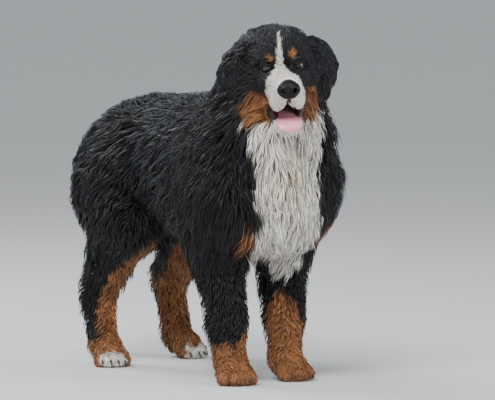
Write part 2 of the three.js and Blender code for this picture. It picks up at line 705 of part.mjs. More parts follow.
const EARS = SIDES.map(({ s }) => solid(inflated(ear(s), 5 * HALF_GAP)));
const TAIL_BOX = [[-640, -110, 180], [-380, 110, 720]];
const tailCore = meshOf((p) => skinDistance(TAIL, p) - CORE_SHARE * 36, ...TAIL_BOX, 28);
const tailLocks = locksOver(TAIL, ...TAIL_BOX, { apart: 48, width: 52, least: 0, long: 0.9 });
const tail = coatOf(solid(tailCore), tailLocks);
const tailLine = [[-392, 740], [-440, 590], [-462, 480], [-466, 100], [-700, 100], [-700, 740]];
const tailRegion = [0, 2 * HALF_GAP].map((gap) => prism(inset(tailLine, gap), -96 + gap, 92 - gap));
const trunk = coatOf(coreSolid([-520, -240, 230], [480, 240, 800], 44)).intersect(neckDown);
let rest = trunk;
for (const [outer] of Object.values(legRegion)) rest = rest.subtract(outer);
const slab = (x0, x1) => prism([[x0, 0], [x1, 0], [x1, VERTICAL], [x0, VERTICAL]], -400, 400);
keep("forequarters", BLACK, rest.intersect(slab(midCuts[0] + HALF_GAP, 700)));
keep("barrel", BLACK, rest.intersect(slab(midCuts[1] + HALF_GAP, midCuts[0] - HALF_GAP)));
const rear = rest.intersect(slab(-700, midCuts[1] - HALF_GAP));
keep("hindquarters", BLACK, rear.subtract(tailRegion[0]));

keep("neck", BLACK, coatOf(coreSolid([150, -220, 480], [560, 220, 940], 28))
  .intersect(neckUp)
  .intersect(headDown)
  .subtract(fuse(EARS)));
// The head: its shell, with room for what is set in it, and its jaw
const whole = coreSolid([280, -180, 590], [680, 150, 950], 12).intersect(headUp);
const insets = [];
const setIn = (name, colour, made, more) => {
  insets.push(solid(inflated(made, 3 * HALF_GAP)));
  keep(name, colour, solid(made), more);
};
for (const { name, s } of SIDES) {
  setIn("eye_" + name, BROWN, eyeball(s), { roughness: 0.1 });
  setIn("ear_" + name, BLACK, ear(s));
}
setIn("nose", BLACK, nose(), { roughness: 0.35 });
setIn("tongue", PINK, tongue(), { roughness: 0.45 });
const jawLine = [[68, -99], [240, -116], [240, -300], [-60, -300], [-60, -190], [26, -176]];
const inHeadFrame = (made) => made.transform(headTurn.elements);
const jawRegion = [0, 2 * HALF_GAP].map((gap) => inHeadFrame(prism(inset(jawLine, gap), -160, 160)));
const lids = SIDES.flatMap(({ s }) => eyelids(s).map(solid));
let shell = fuse([whole.simplify(2.7), ...lids]);
for (const inset of insets) shell = shell.subtract(inset);
keep("head", BLACK, shell.subtract(jawRegion[0]));
keep("jaw", BLACK, shell.intersect(jawRegion[1]));

for (const { name, fore, hind } of SIDES)
  for (const [kind, foot] of [["fore", fore], ["hind", hind]]) {
    const inner = legRegion[kind + name][1];
    const [x, y] = [foot.x, foot.y];
    const leg = coatOf(coreSolid([x - 200, y - 130, 20], [x + 150, y + 130, 420], 26)).intersect(inner);
    const cutAt = PASTERN + 10;
    keep(kind + "leg_" + name, BLACK, leg.intersect(halfSpace([0, 0, cutAt], [0, 0, 1], HALF_GAP)));
    const paw = coreSolid([x - 100, y - 90, -20], [x + 100, y + 90, 110], 13).simplify(1.5).intersect(floor);
    keep(kind + "paw_" + name, BLACK, paw.intersect(halfSpace([0, 0, cutAt], [0, 0, -1], HALF_GAP)));
  }

keep("tail", BLACK, tail.intersect(tailRegion[1]));

const dog = new THREE.Group();
dog.add(...parts);
dog.position.set(-MIDDLE[0], -MIDDLE[1], 0);
export default dog;
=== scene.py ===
"""A standing long-coated mountain dog in black, rust and white: its skin, its coat in tufts, and its face.

Shapes are worked out in millimetres in the same frame as the source, and moved to metres when a mesh is made.
"""

import bpy
import math
import numpy as np
from mathutils import Matrix, Vector, kdtree


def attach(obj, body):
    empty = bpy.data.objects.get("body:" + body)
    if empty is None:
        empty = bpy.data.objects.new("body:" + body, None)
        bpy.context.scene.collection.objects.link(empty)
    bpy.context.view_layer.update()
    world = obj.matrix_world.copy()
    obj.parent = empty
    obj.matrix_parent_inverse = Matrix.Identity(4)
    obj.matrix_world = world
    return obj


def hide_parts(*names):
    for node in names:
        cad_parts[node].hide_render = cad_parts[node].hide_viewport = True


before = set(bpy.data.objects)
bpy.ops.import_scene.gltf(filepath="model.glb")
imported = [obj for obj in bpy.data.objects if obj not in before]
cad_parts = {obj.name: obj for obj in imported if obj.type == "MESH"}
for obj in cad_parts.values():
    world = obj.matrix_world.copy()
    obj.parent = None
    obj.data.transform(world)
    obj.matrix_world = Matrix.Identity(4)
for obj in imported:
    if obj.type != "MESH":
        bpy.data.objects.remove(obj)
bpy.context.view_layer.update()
FLESH = [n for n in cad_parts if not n.startswith(("ear", "eye", "nose", "tongue"))]

MIDDLE = np.array([2.0, -3.0, 0.0])  # where the shared frame's origin lies in the source's, in mm

# Camera and light

SENSOR, LENS, FAR = 36, 349.1, 500
CAMERA_AT, CAMERA_WAY, CAMERA_TILT = (10.885, -5.790, 1.2), (-0.879, 0.477), 3.499
LIT_POINT = (0, 0, 0.5)
SKY, SKY_STRENGTH = (0.86, 0.89, 0.93, 1), 0.72


def added(name, data):
    """An object with some data, in the scene."""
    made = bpy.data.objects.new(name, data)
    bpy.context.scene.collection.objects.link(made)
    return made


def camera():
    """The camera that the photograph's view was solved for."""
    data = bpy.data.cameras.new("view")
    data.sensor_width = SENSOR
    data.lens = LENS
    data.clip_end = FAR
    made = added("view", data)
    made.location = CAMERA_AT
    tilt = math.radians(CAMERA_TILT)
    look = Vector((CAMERA_WAY[0] * math.cos(tilt), CAMERA_WAY[1] * math.cos(tilt), -math.sin(tilt)))
    made.rotation_euler = look.to_track_quat("-Z", "Y").to_euler()
    bpy.context.scene.camera = made


def light(name, at, size, power, colour):
    """A round lamp that faces the middle of the dog."""
    data = bpy.data.lights.new(name, "AREA")
    data.shape = "DISK"
    data.size = size
    data.energy = power
    data.color = colour
    made = added(name, data)
    made.location = at
    made.rotation_euler = (Vector(LIT_POINT) - Vector(at)).to_track_quat("-Z", "Y").to_euler()


camera()
light("key", (3.4, -3.4, 4.6), 2.6, 430, (1.0, 0.98, 0.95))
light("fill", (4.5, 3.2, 2.2), 3.0, 165, (0.93, 0.96, 1.0))
light("back", (-3.6, -1.5, 3.8), 2.4, 190, (0.95, 0.97, 1.0))
world = bpy.data.worlds.new("studio")
world.use_nodes = True
sky = world.node_tree.nodes["Background"].inputs
sky["Color"].default_value, sky["Strength"].default_value = SKY, SKY_STRENGTH
bpy.context.scene.world = world

# The body's masses, as in the solids

ELBOW, STIFLE, HOCK, PASTERN = 372, 378, 190, 62
FORE_TRACK, HIND_TRACK = 92, 133
HEAD_AT = np.array([421.0, -24.0, 812.0])
HEAD_YAW, HEAD_PITCH, HEAD_ROLL = -21.5, 8, 4
EYE_AT, EYE_RADIUS = (77, 39, 4), 13
FOOT = {
    "foreR": (302, -88, -12),
    "foreL": (268, 90, 12),
    "hindR": (-284, -140, -15),
    "hindL": (-402, 144, 18),
}


def turn(axis, degrees):
    return np.array(Matrix.Rotation(math.radians(degrees), 3, axis))


HEAD_TURN = turn("Z", HEAD_YAW) @ turn("Y", HEAD_PITCH) @ turn("X", HEAD_ROLL)


def to_head(p):
    """Points in the head's frame: x to the nose, y to the dog's left, z to the crown."""
    return (p - HEAD_AT) @ HEAD_TURN


def from_head(p):
    return np.asarray(p, float) @ HEAD_TURN.T + HEAD_AT


def unit(v):
    """Vectors of length one."""
    v = np.asarray(v, float)
    return v / np.maximum(np.linalg.norm(v, axis=-1, keepdims=True), 1e-9)


def ball(at, radii, melt=1, coat=0, rear=0, under=0, lie=(-1, 0, 0)):
    """An ellipsoid, with the same further values as a limb."""
    return dict(at=at, radii=radii, melt=melt, coat=coat, rear=rear, under=under, lie=unit(lie), head=False)


def limb(a, b, r0, r1, melt=1, coat=0, rear=0, under=0, lie=(-1, 0, 0)):
    """A capsule from a to b.

    melt is how far it blends in, coat its hair's depth, and rear and under what that gains behind and below.
    """
    shape = dict(a=a, b=b, r0=r0, r1=r1)
    return dict(shape, melt=melt, coat=coat, rear=rear, under=under, lie=unit(lie), head=False)


def distance(m, x, y, z):
    """From points, given as three arrays that broadcast, to the surface of one mass."""
    if "at" in m:
        (ax, ay, az), (rx, ry, rz) = m["at"], m["radii"]
        u, v, w = (x - ax) / rx, (y - ay) / ry, (z - az) / rz
        near = np.sqrt(u * u + v * v + w * w)
        slope = np.sqrt((u / rx) ** 2 + (v / ry) ** 2 + (w / rz) ** 2)
        return np.where(near < 0.02, -min(rx, ry, rz), near * (near - 1) / np.maximum(slope, 1e-6))
    a, b = np.array(m["a"], float), np.array(m["b"], float)
    way = b - a
    t = np.clip(((x - a[0]) * way[0] + (y - a[1]) * way[1] + (z - a[2]) * way[2]) / (way @ way), 0, 1)
    off = np.sqrt((x - a[0] - way[0] * t) ** 2 + (y - a[1] - way[1] * t) ** 2 + (z - a[2] - way[2] * t) ** 2)
    return off - (m["r0"] + (m["r1"] - m["r0"]) * t)


BODY = [
    ball((105, 0, 520), (250, 140, 165), 1, 42, 0, 14, (-1, 0, -0.75)),
    ball((278, 0, 508), (128, 128, 142), 60, 46, 0, 0, (-0.1, 0, -1)),
    ball((195, 0, 607), (125, 78, 80), 60, 36, 0, 0, (-1, 0, -0.5)),
    ball((-110, 0, 562), (225, 120, 122), 70, 40, 0, 22, (-1, 0, -0.6)),
    ball((-295, 0, 568), (135, 122, 108), 60, 36, 20, 0, (-0.8, 0, -0.7)),
    ball((372, 0, 470), (42, 62, 88), 60, 52, 0, 0, (0.08, 0, -1)),
]
for s in (-1, 1):
    BODY.append(ball((268, s * 98, 505), (98, 62, 150), 50, 44, 0, 0, (-0.35, 0, -1)))
    BODY.append(ball((-302, s * 100, 475), (118, 66, 145), 60, 34, 38, 0, (-0.4, 0, -1)))
BODY.append(limb((252, 0, 600), (372, -14, 790), 116, 92, 60, 42, 0, 0, (-0.6, 0, -1)))
BODY.append(limb((335, -5, 580), (402, -18, 715), 96, 76, 60, 50, 0, 0, (-0.05, 0, -1)))

LEG_AXES = {}
FORE_LIE, HIND_LIE, PAW_LIE = (-0.25, 0, -1), (-0.2, 0, -1), (0.9, 0, -0.5)
for s, fore, hind in ((-1, FOOT["foreR"], FOOT["hindR"]), (1, FOOT["foreL"], FOOT["hindL"])):
    point = (300, s * 95, 455)
    wrist = (fore[0] - 26, s * FORE_TRACK, 160)
    elbow = (232 + (fore[0] - 285) * 0.5, s * 102, ELBOW)
    low = (fore[0] - 16, fore[1], PASTERN - 8)
    LEG_AXES["fore", s] = [point, elbow, wrist, low, (fore[0], fore[1], 0)]
    BODY.append(limb(point, elbow, 76, 60, 50, 36, 24, 0, FORE_LIE))
    BODY.append(limb(elbow, wrist, 54, 37, 26, 19, 24, 0, FORE_LIE))
    BODY.append(limb(wrist, low, 37, 34, 26, 10, 10, 0, FORE_LIE))
    shift = (hind[0] + 284) * 0.42
    hip = (-275 + shift, s * 108, 475)
    stifle = (-202 + shift, s * 124, STIFLE)
    hock = (hind[0] - 72, s * HIND_TRACK, HOCK)
    low = (hind[0] - 34, hind[1], PASTERN - 8)
    LEG_AXES["hind", s] = [hip, stifle, hock, low, (hind[0], hind[1], 0)]
    BODY.append(limb(hip, stifle, 88, 62, 50, 30, 48, 0, HIND_LIE))
    BODY.append(limb(stifle, (hock[0] + 14, hock[1], hock[2] + 8), 58, 31, 40, 15, 38, 0, HIND_LIE))
    BODY.append(limb(hock, low, 31, 28, 26, 13, 20, 0, HIND_LIE))


def paw_point(foot, p):
    """A point of a paw, from its own place and turn."""
    c, s = math.cos(math.radians(foot[2])), math.sin(math.radians(foot[2]))
    return (foot[0] + p[0] * c - p[1] * s, foot[1] + p[0] * s + p[1] * c, p[2])


TOES = (-1.5, -0.5, 0.5, 1.5)
CLAWS = []
for key, foot in FOOT.items():
    size = 1.02 if key.startswith("fore") else 0.94
    pad = [paw_point(foot, at) for at in ((-22, 0, 50), (8, 0, 34))]
    BODY.append(limb(*pad, 33 * size, 36 * size, 16, 6, 0, 0, PAW_LIE))
    for k in TOES:
        reach = (46 - 7 * k * k) * size
        end = paw_point(foot, (reach, k * 21 * size, 17))
        knuckle = paw_point(foot, (10, k * 17 * size, 28))
        BODY.append(limb(knuckle, end, 20 * size, 16.5 * size, 5, 6, 0, 0, PAW_LIE))
        claw = ((8, 0, 20), (20, 0.5, 15), (27, 1, 6))
        CLAWS.append([paw_point(foot, (reach + u, k * 21 * size + k * v, w)) for u, v, w in claw])

HEAD = [
    ball((-14, 0, 14), (90, 76, 62), 1, 17, 14, 0, (-1, 0, -0.35)),
    ball((48, 0, 24), (42, 56, 36), 26, 9, 0, 0, (-1, 0, 0.3)),
    ball((112, 0, -38), (66, 34, 33), 24, 4, 0, 0, (-1, 0, -0.25)),
    ball((148, 0, -42), (26, 30, 28), 18, 3, 0, 0, (-1, 0, -0.3)),
]
for s in (-1, 1):
    HEAD += [
        ball((8, s * 50, -34), (60, 36, 50), 30, 15, 0, 0, (-1, 0, -0.7)),
        ball((66, s * 31, 24), (22, 20, 17), 16, 6, 0, 0, (-1, 0, 0.4)),
        ball((84, s * 36, -28), (40, 22, 28), 20, 5, 0, 0, (-1, 0, -0.3)),
        ball((124, s * 24, -62), (40, 18, 34), 14, 4, 0, 0, (-0.8, 0, -0.6)),
    ]
HEAD += [
    limb((8, 0, -90), (108, 0, -139), 38, 20, 14, 7, 0, 0, (-1, 0, -0.2)),
    ball((122, 0, -142), (23, 27, 18), 12, 5, 0, 0, (-1, 0, -0.4)),
]
for s in (-1, 1):
    HEAD.append(limb((20, s * 38, -84), (100, s * 22, -126), 26, 14, 14, 8, 0, 0, (-1, 0, -0.5)))
for m in HEAD:
    m["head"] = True
    m["lie"] = HEAD_TURN @ m["lie"]
MOUTH = ball((128, 0, -106), (72, 37, 17))
BODY += HEAD

TAIL = []
TAIL_LINE = [
    (-400, 0, 628, 34), (-462, 0, 596, 33), (-506, -3, 500, 28), (-516, -6, 390, 23), (-500, -10, 290, 14),
]
for a, b in zip(TAIL_LINE, TAIL_LINE[1:]):
    way = unit(np.array(b[:3]) - a[:3])
    TAIL.append(limb(a[:3], b[:3], a[3], b[3], 20, 34, 14, 0, way))
ALL = BODY + TAIL
CORNERS = [(i, j, k) for i in (0, 1) for j in (0, 1) for k in (0, 1)]
REACH = 120  # mm from a point, beyond which a mass has no bearing on it
SOCKET_AHEAD, SOCKET_OUT, SOCKET_RADIUS = 13, 4, 17
SOCKET_RIM = 6  # mm over which the socket's edge is rounded
FACE_FROM = 20  # x in the head's frame, behind which nothing is carved
FURROW_HALF, FURROW_AT, FURROW_TALL, FURROW_DEEP, FURROW_FROM = 3.0, -66, 26, 2.2, 120


def span(m):
    """The lowest and highest corner of a mass."""
    if "at" in m:
        lo, hi = np.subtract(m["at"], m["radii"]), np.add(m["at"], m["radii"])
    else:
        r = max(m["r0"], m["r1"])
        lo, hi = np.minimum(m["a"], m["b"]) - r, np.maximum(m["a"], m["b"]) + r
    if m["head"]:
        corners = from_head([[(lo, hi)[i][0], (lo, hi)[j][1], (lo, hi)[k][2]] for i, j, k in CORNERS])
        lo, hi = corners.min(0), corners.max(0)
    return lo, hi


def join(d, own, k):
    """The smaller of two distances, blended where they are less than k apart."""
    share = np.maximum(k - np.abs(d - own), 0) / k
    return np.minimum(d, own) - share * share * (k / 4)


def carved(d, x, y, z):
    """The mouth and the sockets of the eyes hollowed out, for points in the head's frame."""
    ahead, out = x - EYE_AT[0] - SOCKET_AHEAD, np.abs(y) - EYE_AT[1] - SOCKET_OUT
    socket = np.sqrt(ahead**2 + out**2 + (z - EYE_AT[2]) ** 2) - SOCKET_RADIUS
    cut = np.maximum(SOCKET_RIM - np.abs(d + socket), 0) ** 2 / (4 * SOCKET_RIM)
    open_mouth = -distance(MOUTH, x, y, z)
    parting = np.maximum(np.maximum(d, -socket) + cut, open_mouth)
    furrow = np.exp(-((y / FURROW_HALF) ** 2)) * np.exp(-(((z - FURROW_AT) / FURROW_TALL) ** 2))
    furrow = furrow * FURROW_DEEP * (x > FURROW_FROM)
    return np.where(x > FACE_FROM, parting + furrow, d)


def near_masses(p):
    """The masses that can bear on some points."""
    lo, hi = p.min(0) - REACH, p.max(0) + REACH
    return [m for m in ALL if np.all(span(m)[0] < hi) and np.all(span(m)[1] > lo)]


def skin_distance(p, masses):
    """From points to the skin that some masses make."""
    q = to_head(p)
    d = np.full(len(p), 1e3)
    for m in masses:
        own = distance(m, *(q.T if m["head"] else p.T))
        d = join(d, own, m["melt"])
    return carved(d, *q.T) if any(m["head"] for m in masses) else d


def level(p, masses, step=1.5):
    """Distance to the skin and the way out of it."""
    d = skin_distance(p, masses)
    n = np.stack([skin_distance(p + np.eye(3)[i] * step, masses) - d for i in range(3)], 1)
    return d, unit(n)


# Coat added round a place, in mm: the ruff is fuller on the dog's left, and that shoulder's coat is closer
FULLER = [
    (23, (338, 92, 712), (80, 60, 68)),
    (15, (300, 115, 575), (90, 70, 60)),
    (-13, (275, 150, 425), (120, 60, 60)),
]
COAT_BLEND = 14  # mm over which one mass's coat gives way to the next one's


def coat_at(p, n, masses):
    """The coat's depth and the way it lies, at points of the skin with normals n."""
    q = to_head(p)
    gaps = np.stack([distance(m, *(q.T if m["head"] else p.T)) for m in masses])
    w = np.exp((gaps.min(0) - gaps) / COAT_BLEND)
    w /= w.sum(0)
    rear, under = np.maximum(0, -n[:, 0]), np.maximum(0, -n[:, 2])
    depth = sum(w[i] * (m["coat"] + m["rear"] * rear + m["under"] * under) for i, m in enumerate(masses))
    for more, at, radii in FULLER:
        depth = depth + more * blob(p, at, radii, 0.6)
    lie = unit(sum(w[i][:, None] * m["lie"] for i, m in enumerate(masses)))
    return depth, lie


# Waves and colours


class Waves:
    """Smooth noise from a few sines."""

    def __init__(self, seed, size, parts=7):
        r = np.random.default_rng(seed)
        way = unit(r.normal(size=(3, parts, 3)))
        self.k = way * (2 * math.pi / size) * r.uniform(0.6, 1.5, (3, parts, 1))
        self.phase = r.uniform(0, 2 * math.pi, (3, parts))
        self.parts = parts

    def __call__(self, p):
        sines = [np.sin(p @ self.k[i].T + self.phase[i]).sum(1) for i in range(3)]
        return np.stack(sines, 1) / math.sqrt(self.parts / 2)


FLOW, CURL, EDGE, FINE = Waves(1, 150), Waves(2, 46), Waves(3, 34), Waves(4, 11)


def ramp(lo, hi, x):
    """From 0 at lo to 1 at hi, smooth at both."""
    t = np.clip((x - lo) / (hi - lo), 0, 1)
    return t * t * (3 - 2 * t)


def blob(p, at, radii, soft=0.18):
    """1 inside an ellipsoid and 0 outside it, with a soft edge."""
    off = (p - np.array(at, float)) / np.array(radii, float)
    return 1 - ramp(1 - soft, 1 + soft, np.linalg.norm(off, axis=1))


BLACK, RUST = np.array([(0.0042, 0.0043, 0.0052), (0.285, 0.118, 0.040)])
WHITE, CREAM = np.array([(0.90, 0.88, 0.83), (0.66, 0.56, 0.40)])
LIP, GUM = np.array([(0.012, 0.010, 0.011), (0.20, 0.055, 0.060)])
# The white of the face by height in the head's frame: half its width, its middle, and how far back it goes
BLAZE_HALF = (
    [-200, -150, -57, -32, -20, -8, 4, 17, 41, 66, 92],
    [34, 40, 47, 43, 37, 25, 13, 8.5, 6.5, 5, 1.5],
)
BLAZE_MIDDLE = [-90, -57, -32, -20, -8, 4, 20, 41, 66, 92], [0, -3, -6, -9, -11, -12, -11, -9, -6, 0]
MUZZLE_BACK = [-170, -130, -100, -60, -25, -8, 0], [92, 88, 96, 88, 84, 60, 20]
# Rust: the middle and radii of each spot, the cheeks' for one side
CHEEK, LOWER_CHEEK = ((44, 66, -106), (60, 50, 50)), ((82, 42, -86), (32, 28, 26))
BROWS = [((85, -34, 33), (24, 10.8, 10.5)), ((85, 23, 38), (24, 10.5, 11))]
CHEST_PATCHES = [((362, -93, 355), (50, 21, 36)), ((324, 142, 374), (50, 34, 34))]
STAIN = ((400, -10, 520), (90, 34, 80))  # a creamy tinge in the white of the chest
# The white of the chest, from the dog's right to its left, at heights up it
BIB = np.array([
    [250, -12, 60], [285, -28, 104], [325, -50, 110], [365, -74, 106], [420, -72, 92], [478, -98, 76],
    [558, -102, 72], [610, -112, 88], [643, -124, 104], [690, -118, 100], [730, -84, 62], [752, -40, 24],
], float)


def leg_middle(line, z):
    """The x and y of a leg's middle line at some heights."""
    line = np.array(line[::-1], float)
    return np.stack([np.interp(z, line[:, 2], line[:, i]) for i in (0, 1)], 1)


def markings(p, jitter=0.0):
    """The coat's colour at points of the dog: black, with rust and white where the breed has them."""
    wobble = EDGE(p) * 4.5 + FINE(p) * 2.0
    if np.ndim(jitter):
        wobble = wobble + jitter
    q = to_head(p) + wobble * 0.3
    b = p + wobble
    hx, hy, hz = q.T
    side = np.abs(hy)
    head = (hx > -60) & (hz > -172) & (np.linalg.norm(q * [0.75, 1, 0.9] - [20, 0, -30], axis=1) < 158)
    # Face
    seen = hz - 0.176 * (hx - EYE_AT[0])
    half = np.interp(seen, *BLAZE_HALF)
    off_middle = np.abs(hy - np.interp(seen, *BLAZE_MIDDLE))
    back = np.interp(hz, *MUZZLE_BACK)
    white = (1 - ramp(-2.5, 2.5, off_middle - half)) * ramp(-3, 3, hx - back)
    mirrored = np.stack([hx, side, hz], 1)
    cheek = blob(mirrored, *CHEEK) * ramp(-8, 8, side - 20)
    lower = blob(mirrored, *LOWER_CHEEK)
    brow = np.maximum(*(blob(q, at, radii, 0.2) for at, radii in BROWS))
    rust = np.maximum(np.maximum(cheek, lower), brow) * (1 - white)
    ear = ramp(78, 90, side) * ramp(-30, -10, 30 - hx) * ramp(-104, -84, hz)
    rust = rust * (1 - ear)
    rust, white = rust * head, white * head * (1 - ear)
    # Chest
    lo, hi = (np.interp(b[:, 2], BIB[:, 0], BIB[:, i]) for i in (1, 2))
    bib = ramp(-5, 5, b[:, 1] - lo) * ramp(-5, 5, hi - b[:, 1]) * ramp(-12, 12, b[:, 0] - 262)
    bib *= ramp(248, 262, b[:, 2]) * ramp(-12, 4, 752 - b[:, 2])
    bib *= ~(head & (hx > 0) & (hz > -150) & (rust > 0.2))
    white = np.maximum(white, bib * ~(head & (hz > -138)))
    patches = np.maximum(*(blob(b, at, radii) for at, radii in CHEST_PATCHES))
    rust = np.maximum(rust, patches * (1 - white))
    # Legs: rust rises higher inside and in front
    for (kind, s), line in LEG_AXES.items():
        off = b[:, :2] - leg_middle(line, np.clip(b[:, 2], 0, 470))
        near = (np.linalg.norm(off, axis=1) < 150) & (b[:, 1] * s > -14) & (b[:, 2] < 470)
        aim = unit(off)
        front, inner = aim[:, 0], -aim[:, 1] * s
        if kind == "fore":
            top = 96 + 50 * np.maximum(0, inner)
            if s > 0:
                top = 104 + 120 * np.clip(0.75 * front + 0.6 * inner, 0, 1)
            near &= b[:, 0] > 60
        else:
            top = 58 + 300 * np.clip(0.66 * front + 0.46 * inner + 0.1, 0, 1)
            near &= b[:, 0] < 0
        leg = near * ramp(-9, 9, top - b[:, 2]) * (1 - white)
        if kind == "hind":
            f = FOOT["hindR" if s < 0 else "hindL"]
            toe = np.hypot(*(b[:, i] - paw_point(f, (52, 0, 0))[i] for i in (0, 1)))
            tip = near * (1 - ramp(30, 40, toe)) * ramp(-5, 5, 36 - b[:, 2])
            white = np.maximum(white, tip)
            leg = leg * (1 - tip)
        rust = np.maximum(rust, leg)
    stain = blob(b, *STAIN, 0.6) * 0.75
    pale = WHITE + (CREAM - WHITE) * np.clip(stain + 0.18 * FINE(p)[:, 0] ** 2, 0, 1)[:, None]
    shade = 1 + 0.16 * EDGE(p)[:, :1]
    colour = BLACK * (1 - rust - white).clip(0, 1)[:, None] + RUST * shade * rust[:, None]
    return colour + pale * white[:, None]


# Meshes and materials


def mesh_of(name, points, faces, colours=None, uv=None, smooth=True):
    """An object from points in mm and faces of one size, with each point's colour and place in OFBake."""
    faces = np.asarray(faces, np.int32)
    mesh = bpy.data.meshes.new(name)
    n, size = faces.shape
    mesh.vertices.add(len(points))
    mesh.vertices.foreach_set("co", ((points - MIDDLE) / 1000).astype(np.float32).ravel())
    mesh.loops.add(n * size)
    mesh.loops.foreach_set("vertex_index", faces.ravel())
    mesh.polygons.add(n)
    mesh.polygons.foreach_set("loop_start", np.arange(0, n * size, size, dtype=np.int32))
    mesh.polygons.foreach_set("use_smooth", np.full(n, smooth))
    mesh.update(calc_edges=True)
    if colours is not None:
        data = mesh.color_attributes.new("Coat", "FLOAT_COLOR", "POINT")
        rgba = np.ones((len(points), 4), np.float32)
        rgba[:, : colours.shape[1]] = colours
        data.data.foreach_set("color", rgba.ravel())
    if uv is not None:
        layer = mesh.uv_layers.new(name="OFBake")
        layer.data.foreach_set("uv", uv[faces.ravel()].astype(np.float32).ravel())
    mesh.validate()
    return added(name, mesh)


def finish_piece(made, look, *nodes):
    """A piece gets its material, rides on the root, and takes the place of some nodes."""
    made.data.materials.append(look)
    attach(made, "root")
    if nodes:
        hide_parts(*nodes)


def material(name, rough=0.5, **sockets):
    """A material, its nodes and its shader, with constants set on the shader's sockets."""
    made = bpy.data.materials.new(name)
    made.use_nodes = True
    shader = made.node_tree.nodes["Principled BSDF"]
    shader.inputs["Roughness"].default_value = rough
    for key, value in sockets.items():
        shader.inputs[key.replace("_", " ")].default_value = value
    return made, made.node_tree, shader


def node(tree, kind, **values):
    """A node, with each value set on the socket or else the setting of that name."""
    made = tree.nodes.new(kind)
    for key, value in values.items():
        if key in made.inputs:
            made.inputs[key].default_value = value
        else:
            setattr(made, key, value)
    return made


def texture(tree, kind, **values):
    """A procedural texture's node, in the object's own coordinates."""
    made = node(tree, kind, **values)
    tree.links.new(tree.nodes.new("ShaderNodeTexCoord").outputs["Object"], made.inputs["Vector"])
    return made


def noise(tree, scale, detail):
    """A noise texture's value, from 0 to 1."""
    return texture(tree, "ShaderNodeTexNoise", Scale=scale, Detail=detail).outputs["Fac"]


def ranged(tree, value, lo, hi):
    """A value from 0 to 1 moved to a range from lo to hi."""
    made = node(tree, "ShaderNodeMapRange")
    made.inputs["To Min"].default_value, made.inputs["To Max"].default_value = lo, hi
    tree.links.new(value, made.inputs["Value"])
    return made.outputs["Result"]


def bumped(tree, shader, height, strength, deep, invert=False):
    """The shader's surface gets a bump, deep metres at its most."""
    made = node(tree, "ShaderNodeBump", Strength=strength, Distance=deep, invert=invert)
    tree.links.new(height, made.inputs["Height"])
    tree.links.new(made.outputs["Normal"], shader.inputs["Normal"])


def mixed(tree, shader, factor, one, other):
    """The shader's colour goes from one to the other with a factor."""
    made = node(tree, "ShaderNodeMix", data_type="RGBA")
    made.inputs[6].default_value, made.inputs[7].default_value = (*one, 1), (*other, 1)
    tree.links.new(factor, made.inputs[0])
    tree.links.new(made.outputs[2], shader.inputs["Base Color"])


def coloured(tree, shader, factor, lo, hi):
    """The shader's colour is that of the points, times a factor ranged from lo to hi."""
    made = node(tree, "ShaderNodeVectorMath", operation="SCALE")
    tree.links.new(node(tree, "ShaderNodeAttribute", attribute_name="Coat").outputs["Color"], made.inputs[0])
    tree.links.new(ranged(tree, factor, lo, hi), made.inputs["Scale"])
    tree.links.new(made.outputs["Vector"], shader.inputs["Base Color"])


def coat_material():
    """Hair: the points' own colour with fine strands, and a faint blue sheen."""
    sheen = dict(Sheen_Weight=0.05, Sheen_Roughness=0.35, Sheen_Tint=(0.70, 0.80, 1.0, 1))
    made, tree, shader = material("coat", 0.46, Specular_IOR_Level=0.36, **sheen)
    strands = noise(tree, 900, 3)
    coloured(tree, shader, strands, 0.72, 1.28)
    bumped(tree, shader, strands, 0.35, 0.0008)
    tree.links.new(ranged(tree, strands, 0.36, 0.58), shader.inputs["Roughness"])
    return made


COAT = coat_material()

# The skin


def bands(*parts):
    """Grid lines from (start, step) pairs, the last pair giving the end."""
    lines = []
    for (a, step), (b, _) in zip(parts, parts[1:]):
        lines.append(np.linspace(a, b, max(1, round((b - a) / step)) + 1)[:-1])
    return np.append(np.concatenate(lines), parts[-1][0]).astype(np.float32)


def surface_nets(value, xs, ys, zs):
    """Points and quads where a grid of values crosses zero."""
    inside = value < 0
    count = np.zeros([n - 1 for n in inside.shape], np.int8)
    for corner in CORNERS:
        count += inside[tuple(slice(i, n - 1 + i) for i, n in zip(corner, inside.shape))]
    ci, cj, ck = np.nonzero((count > 0) & (count < 8))
    total, hits = np.zeros((len(ci), 3)), np.zeros(len(ci))
    for a in CORNERS:
        for axis in range(3):
            if a[axis]:
                continue
            b = list(a)
            b[axis] = 1
            va = value[ci + a[0], cj + a[1], ck + a[2]]
            vb = value[ci + b[0], cj + b[1], ck + b[2]]
            cross = (va < 0) != (vb < 0)
            t = np.where(cross, va / np.where(va == vb, 1, va - vb), 0)
            pa = np.stack([xs[ci + a[0]], ys[cj + a[1]], zs[ck + a[2]]], 1)
            pb = np.stack([xs[ci + b[0]], ys[cj + b[1]], zs[ck + b[2]]], 1)
            total += np.where(cross[:, None], pa + (pb - pa) * t[:, None], 0)
            hits += cross
    points = total / hits[:, None]
    slot = np.full(count.shape, -1, np.int32)
    slot[ci, cj, ck] = np.arange(len(ci))
    quads = []
    for axis in range(3):
        b, c = (axis + 1) % 3, (axis + 2) % 3
        e = np.argwhere(np.diff(inside, axis=axis))
        e = e[(e[:, b] > 0) & (e[:, c] > 0) & (e[:, b] < count.shape[b]) & (e[:, c] < count.shape[c])]
        around = []
        for u, w in ((0, 0), (-1, 0), (-1, -1), (0, -1)):
            cell = e.copy()
            cell[:, b] += u
            cell[:, c] += w
            around.append(slot[tuple(cell.T)])
        quad = np.stack(around, 1)
        flip = ~inside[tuple(e.T)]
        quad[flip] = quad[flip][:, ::-1]
        quads.append(quad)
    return points, np.concatenate(quads)


